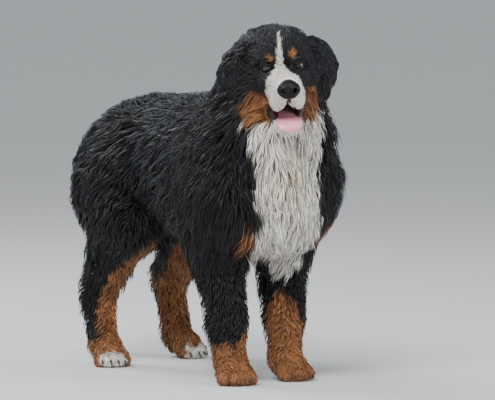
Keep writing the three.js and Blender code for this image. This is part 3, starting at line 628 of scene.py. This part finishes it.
BLOCKS = 14  # the skin's points are worked on in so many lots
SKIN_FLOOR = 0.4  # the skin's least height, in mm
FACE_X, FACE_Z = 400, 600  # the eyes and the mouth lie beyond both
GRID_PAD = 14  # mm of the grid round a mass, beyond its melt


def skin_grid():
    """Points and quads of the skin, on a grid that is finer over the head."""
    xs = bands((-580, 7.5), (262, 3.2), (610, 0))
    ys = bands((-190, 6.5), (-122, 3.2), (104, 6.5), (190, 0))
    zs = bands((-14, 4.5), (72, 7), (640, 3.2), (915, 0))
    value = np.full((len(xs), len(ys), len(zs)), 1e3, np.float32)
    for m in ALL:
        lo, hi = span(m)
        pad = m["melt"] + GRID_PAD
        lines = enumerate((xs, ys, zs))
        ix, iy, iz = (slice(*np.searchsorted(line, (lo[i] - pad, hi[i] + pad))) for i, line in lines)
        x, y, z = xs[ix, None, None], ys[None, iy, None], zs[None, None, iz]
        if m["head"]:
            x, y, z = in_head(x, y, z)
        value[ix, iy, iz] = join(value[ix, iy, iz], distance(m, x, y, z).astype(np.float32), m["melt"])
    ix, iy, iz = np.searchsorted(xs, FACE_X), slice(None), np.searchsorted(zs, FACE_Z)
    x, y, z = in_head(xs[ix:, None, None], ys[None, :, None], zs[None, None, iz:])
    value[ix:, iy, iz:] = carved(value[ix:, iy, iz:], x, y, z)
    value = np.maximum(value, -zs[None, None, :] + SKIN_FLOOR)
    for axis in range(3):
        layers = np.moveaxis(value, axis, 0)
        layers[[0, -1]] = np.maximum(layers[[0, -1]], 1)
    return surface_nets(value, xs, ys, zs)


def in_head(x, y, z):
    """The head's frame, for points given as three arrays that broadcast."""
    x, y, z = x - HEAD_AT[0], y - HEAD_AT[1], z - HEAD_AT[2]
    return tuple(HEAD_TURN[0, i] * x + HEAD_TURN[1, i] * y + HEAD_TURN[2, i] * z for i in range(3))


def settle(points, rounds=2):
    """The points drawn onto the skin, a block at a time."""
    order = np.argsort(points[:, 0])
    out, normal = points.copy(), np.zeros_like(points)
    for block in np.array_split(order, BLOCKS):
        masses = near_masses(points[block])
        for _ in range(rounds):
            d, n = level(out[block], masses)
            out[block] -= n * np.clip(d, -4, 4)[:, None]
        normal[block] = level(out[block], masses)[1]
    out[:, 2] = np.maximum(out[:, 2], SKIN_FLOOR)
    return out, normal


TAIL_X = -470  # the skin behind this is the tail's


def unwrap(p):
    """A place on a flat map for points of the skin: round the part's own axis, and along it."""
    q = to_head(p)
    head = (q[:, 0] > -60) & (q[:, 2] > -165)
    u = np.arctan2(p[:, 2] - 540, p[:, 1]) / (2 * math.pi) + 0.5
    v = (p[:, 0] + 600) / 1000
    uv = np.stack([0.02 + 0.46 * u, 0.02 + 0.46 * v], 1)
    hu = np.arctan2(q[:, 2] + 30, q[:, 1]) / (2 * math.pi) + 0.5
    uv[head] = np.stack([0.52 + 0.46 * hu, 0.02 + 0.46 * (q[:, 0] + 110) / 310], 1)[head]
    for n, ((kind, s), line) in enumerate(LEG_AXES.items()):
        mid = leg_middle(line, p[:, 2])
        near = (p[:, 2] < (330 if kind == "fore" else 360)) & (p[:, 1] * s > 0)
        near &= ((p[:, 0] > 60) == (kind == "fore")) & (p[:, 0] > TAIL_X)
        lu = np.arctan2(p[:, 1] - mid[:, 1], p[:, 0] - mid[:, 0]) / (2 * math.pi) + 0.5
        uv[near] = np.stack([0.02 + 0.24 * (n + 0.96 * lu), 0.52 + 0.44 * p[:, 2] / 380], 1)[near]
    tail = p[:, 0] < TAIL_X
    uv[tail] = np.stack([0.02 + 0.3 * u, 0.02 + 0.4 * p[:, 2] / 700], 1)[tail] * [1, 0.2]
    return uv


def mouth_mask(q):
    """How far points lie in the open mouth or on its lips, from 0 to 1, and which are inside it."""
    gap = distance(MOUTH, *q.T)
    low = ramp(-108, -118, q[:, 2]) * 5
    wet = (1 - ramp(2.0, 6.5, gap - low)) * (q[:, 0] > 40)
    return wet, (1 - ramp(-1.5, 1.2, gap)) * (q[:, 0] > 40)


points, quads = skin_grid()
points, normals = settle(points)
colour = markings(points)
head_points = to_head(points)
wet, inside = mouth_mask(head_points)
# Bare skin: the corners of the lips, behind the nose, and the line below it
BARE = [
    ((90, -39, -114), (24, 15, 25), 0.3),
    ((94, 39, -110), (16, 11, 18), 0.3),
    ((172, 0, -36), (27, 25, 25), 0.08),
    ((164, 0, -74), (26, 7, 20), 0.35),
]
for at, radii, soft in BARE:
    wet = np.maximum(wet, blob(head_points, at, radii, soft))
near_eye = np.linalg.norm(np.abs(head_points * [0, 1, 0]) + head_points * [1, 0, 1] - EYE_AT, axis=1)
rim = (1 - ramp(14.5, 18.5, near_eye)) * (head_points[:, 0] > 60)
bare = np.maximum(wet, rim)
colour = colour * (1 - bare)[:, None] + LIP * bare[:, None]
deep, lips = ramp(150, 118, head_points[:, 0]), ramp(118, 150, head_points[:, 0])
colour = colour * (1 - inside)[:, None] + GUM * (inside * deep)[:, None] + LIP * (inside * lips)[:, None]
skin = mesh_of("skin", points, quads, np.concatenate([colour, bare[:, None]], 1))
skin_material, tree, shader = material("skin", 0.6)
attribute = node(tree, "ShaderNodeAttribute", attribute_name="Coat")
tree.links.new(attribute.outputs["Color"], shader.inputs["Base Color"])
tree.links.new(ranged(tree, attribute.outputs["Alpha"], 0.62, 0.22), shader.inputs["Roughness"])
bumped(tree, shader, noise(tree, 420, 4), 0.5, 0.001)
finish_piece(skin, skin_material, *FLESH)

# Tufts

PATCH = 0.003  # each tuft's share of OFBake, from side to side
ROOT_DEPTH, LOWEST = 1.5, 1.8  # mm of a tuft within the skin, and its least height
NOSE_ROOM = np.array([(170, 0, -37), (25, 26, 25)])  # middle and radii of the room kept clear of tufts


def roots_on(points, quads, spacing_at, seed, keep):
    """Roots over the quads whose points are all kept, as near to each other as spacing_at gives."""
    r = np.random.default_rng(seed)
    tris = np.concatenate([quads[:, [0, 1, 2]], quads[:, [0, 2, 3]]], 1).reshape(-1, 3)
    a, b, c = (points[tris[:, i]] for i in range(3))
    area = np.linalg.norm(np.cross(b - a, c - a), axis=1) / 2
    share = area / spacing_at[tris].mean(1) ** 2
    total = np.cumsum(share * keep[tris].all(1))
    n = int(total[-1])
    pick = np.searchsorted(total, (np.arange(n) + r.uniform(0, 1, n)) * total[-1] / n * 0.999999)
    u, v = r.uniform(0, 1, (2, n, 1))
    flip = u + v > 1
    u, v = np.where(flip, 1 - u, u), np.where(flip, 1 - v, v)
    return a[pick] + (b[pick] - a[pick]) * u + (c[pick] - a[pick]) * v


def clumps(roots, size, seed):
    """For each root, the index of the root that its clump gathers to."""
    r = np.random.default_rng(seed)
    cell = np.floor((roots + r.uniform(0, size)) / size).astype(np.int64)
    _, first = np.unique(cell[:, 0] * 4000003 + cell[:, 1] * 2003 + cell[:, 2], return_index=True)
    tree = kdtree.KDTree(len(first))
    for i, f in enumerate(first):
        tree.insert(roots[f], i)
    tree.balance()
    return first[np.array([tree.find(p)[1] for p in roots])]


def grow(
    roots, normals, depth, lie, masses, length, seed,
    rings, clump, clump_size, wave, lift=(0.45, 1.0), droop=0.35,
):
    """The middle line of each tuft, as rings + 1 points from root to tip, and the skin's normal at each."""
    r = np.random.default_rng(seed)
    n = len(roots)
    own_lift = r.uniform(*lift, n)
    p = roots - normals * ROOT_DEPTH
    path, ups = [p.copy()], [normals.copy()]
    phase = r.uniform(0, 2 * math.pi, n)
    stations = np.linspace(0, 1, rings + 1)
    up = normals
    for i in range(1, rings + 1):
        t = stations[i]
        across = unit(np.cross(up, lie))
        flow = FLOW(p) * 0.26 + CURL(p) * wave * 0.5
        swing = np.sin(phase * 0.25 + CURL(p)[:, 0] * 1.5 + t * 5.5)[:, None] * wave * 0.55
        way = lie + flow + across * swing + np.array([0, 0, -droop * t]) + r.normal(0, 0.07, (n, 3))
        way = unit(way - up * (way * up).sum(1)[:, None] * (0.9 if i < rings else 0.6))
        p = p + way * (length * (stations[i] - stations[i - 1]))[:, None]
        gap, up = level(p, masses, 2.0)
        wanted = depth * own_lift * min(1, 1.25 * t**0.62) * (0.97 if i < rings else 0.93)
        push = (wanted - gap) * np.where(gap < wanted, 0.95, 0.55)
        p = p + up * push[:, None]
        path.append(p.copy())
        ups.append(up.copy())
    path, ups = np.stack(path, 1), np.stack(ups, 1)
    to = clumps(roots, clump_size, seed + 5)
    share = (stations**1.2)[None, :, None] * (clump * r.uniform(0.55, 1.0, n))[:, None, None]
    path = path + (path[to] - path) * share
    path[:, :, 2] = np.maximum(path[:, :, 2], LOWEST)
    return path, ups


def tufts(name, roots, path, ups, width, thick, colours, seed):
    """One closed mesh of three-sided tufts that taper to a point."""
    r = np.random.default_rng(seed)
    n, k = path.shape[:2]
    rings = k - 1
    along = unit(np.gradient(path, axis=1))
    side = unit(np.cross(ups, along))
    out = unit(np.cross(along, side))
    twist = r.normal(0, 0.5, n)[:, None, None]
    side, out = side * np.cos(twist) + out * np.sin(twist), out * np.cos(twist) - side * np.sin(twist)
    widths = np.interp(np.arange(rings) / rings, [0, 0.3, 0.7, 1], [0.75, 1, 0.72, 0.3])
    half = side[:, :rings] * ((width / 2)[:, None, None] * widths[None, :, None])
    high = out[:, :rings] * (thick[:, None, None] * widths[None, :, None])
    base = path[:, :rings]
    ring = np.stack([base + half, base + high * 0.6, base - half - high * 0.15], 2)
    verts = np.concatenate([ring.reshape(n, rings * 3, 3), path[:, rings:]], 1)
    per = rings * 3 + 1
    faces = []
    for i in range(rings - 1):
        for j in range(3):
            a, b = i * 3 + j, i * 3 + (j + 1) % 3
            faces += [(a, b, b + 3), (a, b + 3, a + 3)]
    last = (rings - 1) * 3
    faces += [(0, 2, 1)] + [(last + j, last + (j + 1) % 3, last + 3) for j in range(3)]
    faces = np.array(faces)
    # Faces look outwards where the ring runs round the way along
    across = np.cross(ring[:, 0, 1] - ring[:, 0, 0], ring[:, 0, 2] - ring[:, 0, 0])
    inward = np.einsum("ij,ij->i", across, along[:, 0]) < 0
    every = faces[None] + (np.arange(n) * per)[:, None, None]
    every[inward] = every[inward][:, :, ::-1]
    every = every.reshape(-1, 3)
    tone = np.clip(1 + r.normal(0, 0.14, n), 0.45, 1.7)[:, None, None]
    t = np.append(np.repeat(np.arange(rings) / rings, 3), 1.0)
    # Painted shade: each tuft's colour is darker at its root, deep in the coat, and lighter towards its tip
    own = colours[:, None] * tone * (0.80 + 0.30 * t)[:, None]
    patch = np.stack([np.append(np.tile([0.0, 0.5, 1.0], rings), 0.5), t], 1)
    uv = np.clip(unwrap(roots)[:, None] + (patch - 0.5) * PATCH, 0.001, 0.999)
    made = mesh_of(name, verts.reshape(-1, 3), every, own.reshape(-1, 3), uv.reshape(-1, 2))
    finish_piece(made, COAT)


def blocks(points, parts):
    """Points parted into lists of neighbours, from the rear to the front."""
    return np.array_split(np.argsort(points[:, 0], kind="stable"), parts)


LESS = 1.0  # a quick try has fewer, wider tufts
depth_all, lie_all = np.zeros(len(points)), np.zeros_like(points)
for block in blocks(points, BLOCKS):
    depth_all[block], lie_all[block] = coat_at(points[block], normals[block], near_masses(points[block]))
q = head_points
on_head = (q[:, 0] > -70) & (q[:, 2] > -150) & (points[:, 2] > 600)
free = (bare < 0.35) & (inside < 0.2) & (points[:, 2] > 3)
free &= np.linalg.norm((q - NOSE_ROOM[0]) / NOSE_ROOM[1], axis=1) > 1


def cover(name, keep, spacing, length, width, thick, seed, parts, **more):
    """Tufts over a part of the skin, in as many pieces as it takes to stay light.

    Length, width and thickness are each a number and its growth with the coat's depth there.
    """
    roots = roots_on(points, quads, spacing * LESS**0.5, seed, keep & free)
    for i, block in enumerate(blocks(roots, parts)):
        own = roots[block]
        masses = near_masses(own)
        _, n = level(own, masses)
        depth, lie = coat_at(own, n, masses)
        r = np.random.default_rng(seed + 31 * i)
        long = (length[0] + depth * length[1]) * r.uniform(0.78, 1.15, len(own))
        path, ups = grow(own, n, depth, lie, masses, long, seed + 17 * i, **more)
        shown = path[:, max(1, path.shape[1] // 2)]
        tint = markings(shown, r.normal(0, 2.2, (len(own), 3)))
        wide = (width[0] + depth * width[1]) * r.uniform(0.75, 1.3, len(own)) * LESS**0.4
        tufts(f"{name}_{i + 1}", own, path, ups, wide, thick[0] + depth * thick[1], tint, seed + 3 + i)


D = depth_all
trunk = ~on_head & (points[:, 2] > 250) & (D > 24)
limbs = ~on_head & ~trunk
REAR, FRONT = -150, 130
back, chest = points[:, 0] < REAR, points[:, 0] >= FRONT
long_spacing = np.interp(D, [20, 34, 60], [4.5, 5.3, 5.8])
LONG = dict(rings=4, clump=0.6, clump_size=22, wave=0.6)
cover("coat_back", trunk & back, long_spacing, (46, 0.95), (2.8, 0.035), (1.15, 0), 100, 3, **LONG)
cover("coat_flank", trunk & ~back & ~chest, long_spacing, (46, 0.95), (2.8, 0.035), (1.15, 0), 200, 2, **LONG)
RUFF = dict(rings=3, clump=0.38, clump_size=15, wave=0.3, droop=0.5)
cover("coat_chest", trunk & chest, long_spacing * 0.86, (42, 0.8), (2.3, 0.02), (1.0, 0), 300, 3, **RUFF)
limb_spacing = np.interp(D, [5, 9, 20, 40], [3.3, 3.9, 4.8, 5.9])
SHORT = dict(rings=3, clump=0.45, clump_size=12, wave=0.3, droop=0.2, lift=(0.3, 1.0))
cover("coat_legs", limbs, limb_spacing, (9, 1.15), (2.1, 0.06), (0.8, 0.015), 400, 3, **SHORT)
head_spacing = np.interp(D, [3, 6, 12, 24], [1.9, 2.1, 2.65, 3.4])
FINEST = dict(rings=3, clump=0.42, clump_size=11, wave=0.42, droop=0.1, lift=(0.3, 1.1))
cover("coat_head", on_head, head_spacing, (4.5, 1.6), (1.15, 0.065), (0.45, 0.02), 500, 3, **FINEST)

# Ears


# In the head's frame, down an ear: y, z, half its width, its thickness, how much it cups, and x
EAR_LINE = [
    (54, 32, 22, 14, 0.1, -24), (80, 40, 35, 18, 0.2, -22), (106, 25, 44, 20, 0.35, -18),
    (123, -2, 49, 20, 0.45, -14), (126, -32, 45, 19, 0.45, -12), (118, -60, 33, 15, 0.35, -10),
    (106, -88, 13, 9, 0.2, -8),
]
EAR_TURN = math.radians(33)
EAR_TUFTS = 5000
SECTION = np.array([(-1, 0), (-0.6, 0.8), (0, 1), (0.6, 0.8), (1, 0), (0.62, -0.5), (0, -1), (-0.62, -0.5)])


def spline(values, n):
    """Smooth rows through the given ones, n for each step."""
    v = np.asarray(values, float)
    padded = np.concatenate([[2 * v[0] - v[1]], v, [2 * v[-1] - v[-2]]])
    rows = []
    for i in range(len(v) - 1):
        p0, p1, p2, p3 = padded[i : i + 4]
        for t in np.arange(n) / n:
            square, cube = 2 * p0 - 5 * p1 + 4 * p2 - p3, 3 * p1 - p0 - 3 * p2 + p3
            rows.append(0.5 * (2 * p1 + (p2 - p0) * t + square * t**2 + cube * t**3))
    return np.array(rows + [v[-1]])


def closed(rings):
    """Points and triangles of a closed tube through rings of points, its ends drawn in to their middles."""
    rings = np.asarray(rings, float)
    first, last = (end[None] * 0.02 + end.mean(0) * 0.98 for end in (rings[0], rings[-1]))
    rings = np.concatenate([first, rings, last])
    n, k = rings.shape[:2]
    grid = np.arange(n * k).reshape(n, k)
    after = np.roll(grid, -1, 1)
    quads = np.stack([grid[:-1], after[:-1], after[1:], grid[1:]], 2).reshape(-1, 4)
    pts = rings.reshape(-1, 3)
    pts = np.concatenate([pts, [pts[:k].mean(0)], [pts[-k:].mean(0)]])
    front = np.stack([after[0], grid[0], np.full(k, n * k)], 1)
    back = np.stack([grid[-1], after[-1], np.full(k, n * k + 1)], 1)
    tris = np.concatenate([quads[:, [0, 1, 2]], quads[:, [0, 2, 3]], front, back])
    a, b, c = (pts[tris[:, i]] - pts[0] for i in range(3))
    if np.einsum("ij,ij->i", a, np.cross(b, c)).sum() < 0:
        tris = tris[:, ::-1]
    return pts, tris


def ear_rings(s):
    """Rings of points down an ear, on the dog's right for -1 and its left for 1."""
    rings = []
    line = spline(EAR_LINE, 5)
    section = spline(np.concatenate([SECTION, SECTION[:1]]), 3)[:-1]
    way = unit(np.gradient(line[:, :2], axis=0))
    for (y, z, half, thick, hollow, x), (wy, wz) in zip(line, way):
        ring = []
        for u, v in section:
            curl = -hollow * half * 0.5 * u * u
            inner = -v * hollow * 10 if v < 0 else 0
            lift = v * thick * 0.62 + curl + inner
            across = u * half * 0.93
            out = y - across * math.sin(EAR_TURN) - wz * lift
            ring.append((across * math.cos(EAR_TURN) + x, s * out, z + wy * lift))
        rings.append(from_head(ring))
    return np.array(rings)


for s, side in ((-1, "R"), (1, "L")):
    pts, tris = closed(ear_rings(s))
    ear = mesh_of("ear_skin_" + side, pts, tris, np.tile([*(BLACK * 1.1), 0.0], (len(pts), 1)))
    finish_piece(ear, skin_material, "ear_" + side)
    # Hair of the ear: down it, longest at the edges
    n_pts = np.zeros_like(pts)
    fn = np.cross(pts[tris[:, 1]] - pts[tris[:, 0]], pts[tris[:, 2]] - pts[tris[:, 0]])
    for i in range(3):
        np.add.at(n_pts, tris[:, i], fn)
    n_pts = unit(n_pts)
    r = np.random.default_rng(700 + s)
    area = np.linalg.norm(fn, axis=1)
    count = int(EAR_TUFTS / LESS)
    pick = r.choice(len(tris), count, p=area / area.sum())
    w = r.dirichlet((1, 1, 1), count)[:, :, None]
    roots = (pts[tris[pick]] * w).sum(1)
    n = unit((n_pts[tris[pick]] * w).sum(1))
    local = to_head(roots)
    mid = spline(EAR_LINE, 5)
    off = np.abs(local[:, 1])[:, None] - mid[:, 0], local[:, 2][:, None] - mid[:, 1]
    near = np.argmin(off[0] ** 2 + off[1] ** 2, 1)
    way = unit(np.gradient(mid[:, :2], axis=0))[near]
    lie = unit(np.stack([-0.12 + 0 * way[:, 0], s * way[:, 0], way[:, 1] - 0.12], 1)) @ HEAD_TURN.T
    edge = ramp(0.5, 1.0, np.abs(local[:, 0] - mid[near, 5]) / np.maximum(mid[near, 2] * 0.84, 1))
    low = ramp(10, -80, local[:, 2])
    long = (22 + 15 * edge + 12 * low) * r.uniform(0.75, 1.15, count)
    lie = unit(lie - n * (lie * n).sum(1)[:, None])
    lift = r.uniform(0.4, 1.15, count)
    path, ups = [roots - n * 0.4], [n]
    p = path[0]
    for i in range(1, 4):
        t = i / 3
        step = lie + CURL(p) * 0.22 + FLOW(p) * 0.1 + n * (lift * (1.2 - 1.5 * t))[:, None]
        step = step + np.array([0, 0, -0.35 * t]) + r.normal(0, 0.06, (count, 3))
        p = p + unit(step) * (long / 3)[:, None]
        path.append(p)
        ups.append(n)
    path, ups = np.stack(path, 1), np.stack(ups, 1)
    to = clumps(roots, 12, 9)
    path = path + (path[to] - path) * (np.linspace(0, 1, 4) ** 1.2)[None, :, None] * 0.5
    wide = r.uniform(2.0, 3.6, count) * LESS**0.4
    tufts("ear_coat_" + side, roots, path, ups, wide, np.full(count, 0.8), np.tile(BLACK, (count, 1)), 11)

# Eyes, lids, nose, tongue and claws


def sphere_grid(n=64, m=40):
    """Rings of a unit ball, from its front to its back."""
    a = np.linspace(0, 2 * math.pi, n, endpoint=False)
    b = np.linspace(0, math.pi, m + 1)[1:-1, None]
    return np.stack([np.cos(b) + 0 * a, np.sin(b) * np.cos(a), np.sin(b) * np.sin(a)], 2)


eye_material, tree, shader = material("eye", 0.04, Coat_Weight=1.0, Coat_Roughness=0.02, IOR=1.38)
coloured(tree, shader, noise(tree, 1400, 2), 0.6, 1.4)

lid_material, tree, shader = material("lid", 0.62, Specular_IOR_Level=0.16)
grain = noise(tree, 800, 3)
mixed(tree, shader, grain, (0.003, 0.003, 0.0035), (0.010, 0.009, 0.009))
bumped(tree, shader, grain, 0.4, 0.0005)
IRIS_EDGE, PUPIL_EDGE = (40, 44), (17, 20)  # degrees from the eye's middle
SCLERA, BROWN, PUPIL = np.array([0.06, 0.042, 0.036]), np.array([0.026, 0.009, 0.004]), np.array([0.002] * 3)

for s, side in ((-1, "R"), (1, "L")):
    x, y, z = EYE_AT
    look = unit([0.93, s * 0.30, -0.02])
    across = unit(np.cross(look, [0, 0, 1]))
    up = np.cross(across, look)
    g = sphere_grid()
    cone = g[..., 0]
    bulge = 1 + 0.07 * ramp(0.62, 0.9, cone)
    ring = g * bulge[..., None] * EYE_RADIUS
    turned = ring[..., :1] * look + ring[..., 1:2] * across + ring[..., 2:] * up
    off = np.degrees(np.arccos(np.clip(cone, -1, 1)))
    iris = 1 - ramp(*IRIS_EDGE, off)
    pupil = 1 - ramp(*PUPIL_EDGE, off)
    tone = SCLERA * (1 - iris)[..., None] + (BROWN * (0.55 + 0.6 * (off / 42))[..., None]) * iris[..., None]
    tone = tone * (1 - pupil)[..., None] + PUPIL * pupil[..., None]
    tone = np.concatenate([tone[0], tone.reshape(-1, 3), tone[-1], [tone[0, 0]], [tone[-1, 0]]])
    eye = mesh_of("eyeball_" + side, *closed(from_head(turned + [x, s * y, z])), tone)
    finish_piece(eye, eye_material, "eye_" + side)
    # Lids: from the socket's rim to the almond of the eye
    look = unit([0.9, s * 0.42, 0.02])
    across = unit([-look[1] * s, look[0] * s, -0.12])
    up = unit(np.cross(look, across)) * s
    for part, label, bow in ((1, "upper", 0.44), (-1, "lower", -0.46)):
        rings = []
        for a in np.arange(19) / 18 * math.pi:
            u, v = -math.cos(a), math.sin(a) * bow
            wide, tall = u * 1.25, v * 2.6 + part * 0.25
            # Across the lid: how far along and up the eye, how far ahead, and the height over the eyeball
            section = [
                (u, v, 1, 0.5), (u, v, 1, 1.5), (u * 1.02, v * 1.14 + part * 0.03, 0.97, 2.5),
                (wide, tall, 0.62, 4.6), (wide, tall, 0.34, 4.0), (wide, tall, 0.22, 0.6),
            ]
            aim = [
                unit(look * ahead + across * i + up * j) * (EYE_RADIUS + height)
                for i, j, ahead, height in section
            ]
            rings.append(np.array(aim) + [x, s * y, z])
        finish_piece(mesh_of("lid_" + label + "_" + side, *closed(from_head(rings))), lid_material)


def nose_shape(x, y, z):
    """The nose as a distance: a body and two wings, less the nostrils, in the head's frame."""
    side = np.abs(y)
    body = distance(ball((168, 0, -30), (18, 23, 21)), x, y, z)
    wing = distance(ball((173, 14, -32), (14, 13, 15)), x, side, z)
    joined = -5 * np.log(np.exp(-body / 5) + np.exp(-wing / 5))
    nostril = distance(limb((176, 11, -31), (194, 15, -30), 4.4, 5.4), x, side, z)
    slit = distance(limb((186, 17, -34), (183, 28, -36), 2.2, 2.2), x, side, z)
    holes = np.minimum(nostril, slit)
    cut = np.maximum(2.5 - np.abs(joined + holes), 0) ** 2 / 10
    furrow = 1.3 * np.exp(-((y / 1.7) ** 2)) * (x > 170) * ramp(-20, -34, z)
    return np.maximum(joined, -holes) + cut + furrow


xs, ys, zs = np.linspace(140, 202, 50), np.linspace(-38, 38, 61), np.linspace(-62, 0, 50)
value = nose_shape(xs[:, None, None], ys[None, :, None], zs[None, None, :])
pts, nose_quads = surface_nets(value, xs, ys, zs)
# Taller, lower, and narrower at its foot than the solid's
NOSE_MIDDLE, NOSE_TALLER, NOSE_LOWER = -30, 1.1, 8
pts[:, 2] = NOSE_MIDDLE + (pts[:, 2] - NOSE_MIDDLE) * NOSE_TALLER - NOSE_LOWER
pts[:, 1] *= 1.02 - 0.24 * ramp(-36, -66, pts[:, 2])
nose = mesh_of("nose_leather", from_head(pts), nose_quads)
nose_material, tree, shader = material("nose", 0.4, Specular_IOR_Level=0.22)
cells = texture(tree, "ShaderNodeTexVoronoi", Scale=560, feature="SMOOTH_F1").outputs["Distance"]
mixed(tree, shader, cells, (0.0035, 0.0035, 0.004), (0.001, 0.001, 0.0012))
bumped(tree, shader, cells, 0.75, 0.0009, invert=True)
finish_piece(nose, nose_material, "nose")

# In the head's frame, from the throat to the tip: x, z, half its width, and its thickness
TONGUE = [
    (48, -112, 20, 5), (92, -121, 27, 5), (126, -123, 31, 5), (148, -127, 32, 5), (158, -138, 27, 5),
    (157, -148, 15, 3.5),
]
line = spline(TONGUE, 7)
way = unit(np.gradient(line[:, :2], axis=0))
rings = []
for (x, z, half, thick), (wx, wz) in zip(line, way):
    ring = []
    for a in np.arange(28) / 28 * 2 * math.pi - math.pi / 2:
        middle = math.exp(-((math.sin(a * 0.5 - math.pi / 4) / 0.3) ** 2))
        u, v = -math.sin(a) * half, math.cos(a) * thick
        v -= middle * 2.8 if v > 0 else 0
        v += 2.2 * (u / half) ** 2
        ring.append((x - wz * v, u, z + wx * v))
    rings.append(from_head(ring))
tongue_material, tree, shader = material("tongue", 0.3, Specular_IOR_Level=0.6, Subsurface_Weight=0.15)
shader.inputs["Coat Weight"].default_value, shader.inputs["Coat Roughness"].default_value = 0.25, 0.2
shader.inputs["Subsurface Radius"].default_value = (0.006, 0.002, 0.0015)
papillae = noise(tree, 650, 3)
mixed(tree, shader, papillae, (0.60, 0.21, 0.27), (0.80, 0.39, 0.46))
bumped(tree, shader, papillae, 0.6, 0.0006)
finish_piece(mesh_of("tongue_flesh", *closed(rings)), tongue_material, "tongue")

CLAW_RADII, CLAW_NARROW = (5.2, 1.3), 0.8
claw_points, claw_faces, start = [], [], 0
for line in CLAWS:
    line = spline(line, 4)
    way = unit(np.gradient(line, axis=0))
    side = unit(np.cross(way, [0, 0, 1]))
    up = np.cross(side, way)
    radius = np.linspace(*CLAW_RADII, len(line))
    a = np.arange(10)[None, :, None] / 10 * 2 * math.pi
    turned = side[:, None] * np.cos(a) * CLAW_NARROW + up[:, None] * np.sin(a)
    rings = line[:, None] + radius[:, None, None] * turned
    rings[..., 2] = np.maximum(rings[..., 2], 0.8)
    p, t = closed(rings)
    claw_points.append(p)
    claw_faces.append(t + start)
    start += len(p)
claws = mesh_of("claws", np.concatenate(claw_points), np.concatenate(claw_faces))
claw_material, tree, shader = material("claw", 0.32, Specular_IOR_Level=0.5)
mixed(tree, shader, noise(tree, 300, 4), (0.008, 0.007, 0.007), (0.045, 0.036, 0.03))
finish_piece(claws, claw_material)

# Floor

HALF_FLOOR = 2e5
floor_points = np.array([(-1, -1, 0), (1, -1, 0), (1, 1, 0), (-1, 1, 0)]) * HALF_FLOOR
floor = mesh_of("floor", floor_points, [(0, 1, 2, 3)], smooth=False)
floor_material, tree, shader = material("floor", 0.8)
shader.inputs["Base Color"].default_value = (0.62, 0.63, 0.63, 1)
floor.data.materials.append(floor_material)
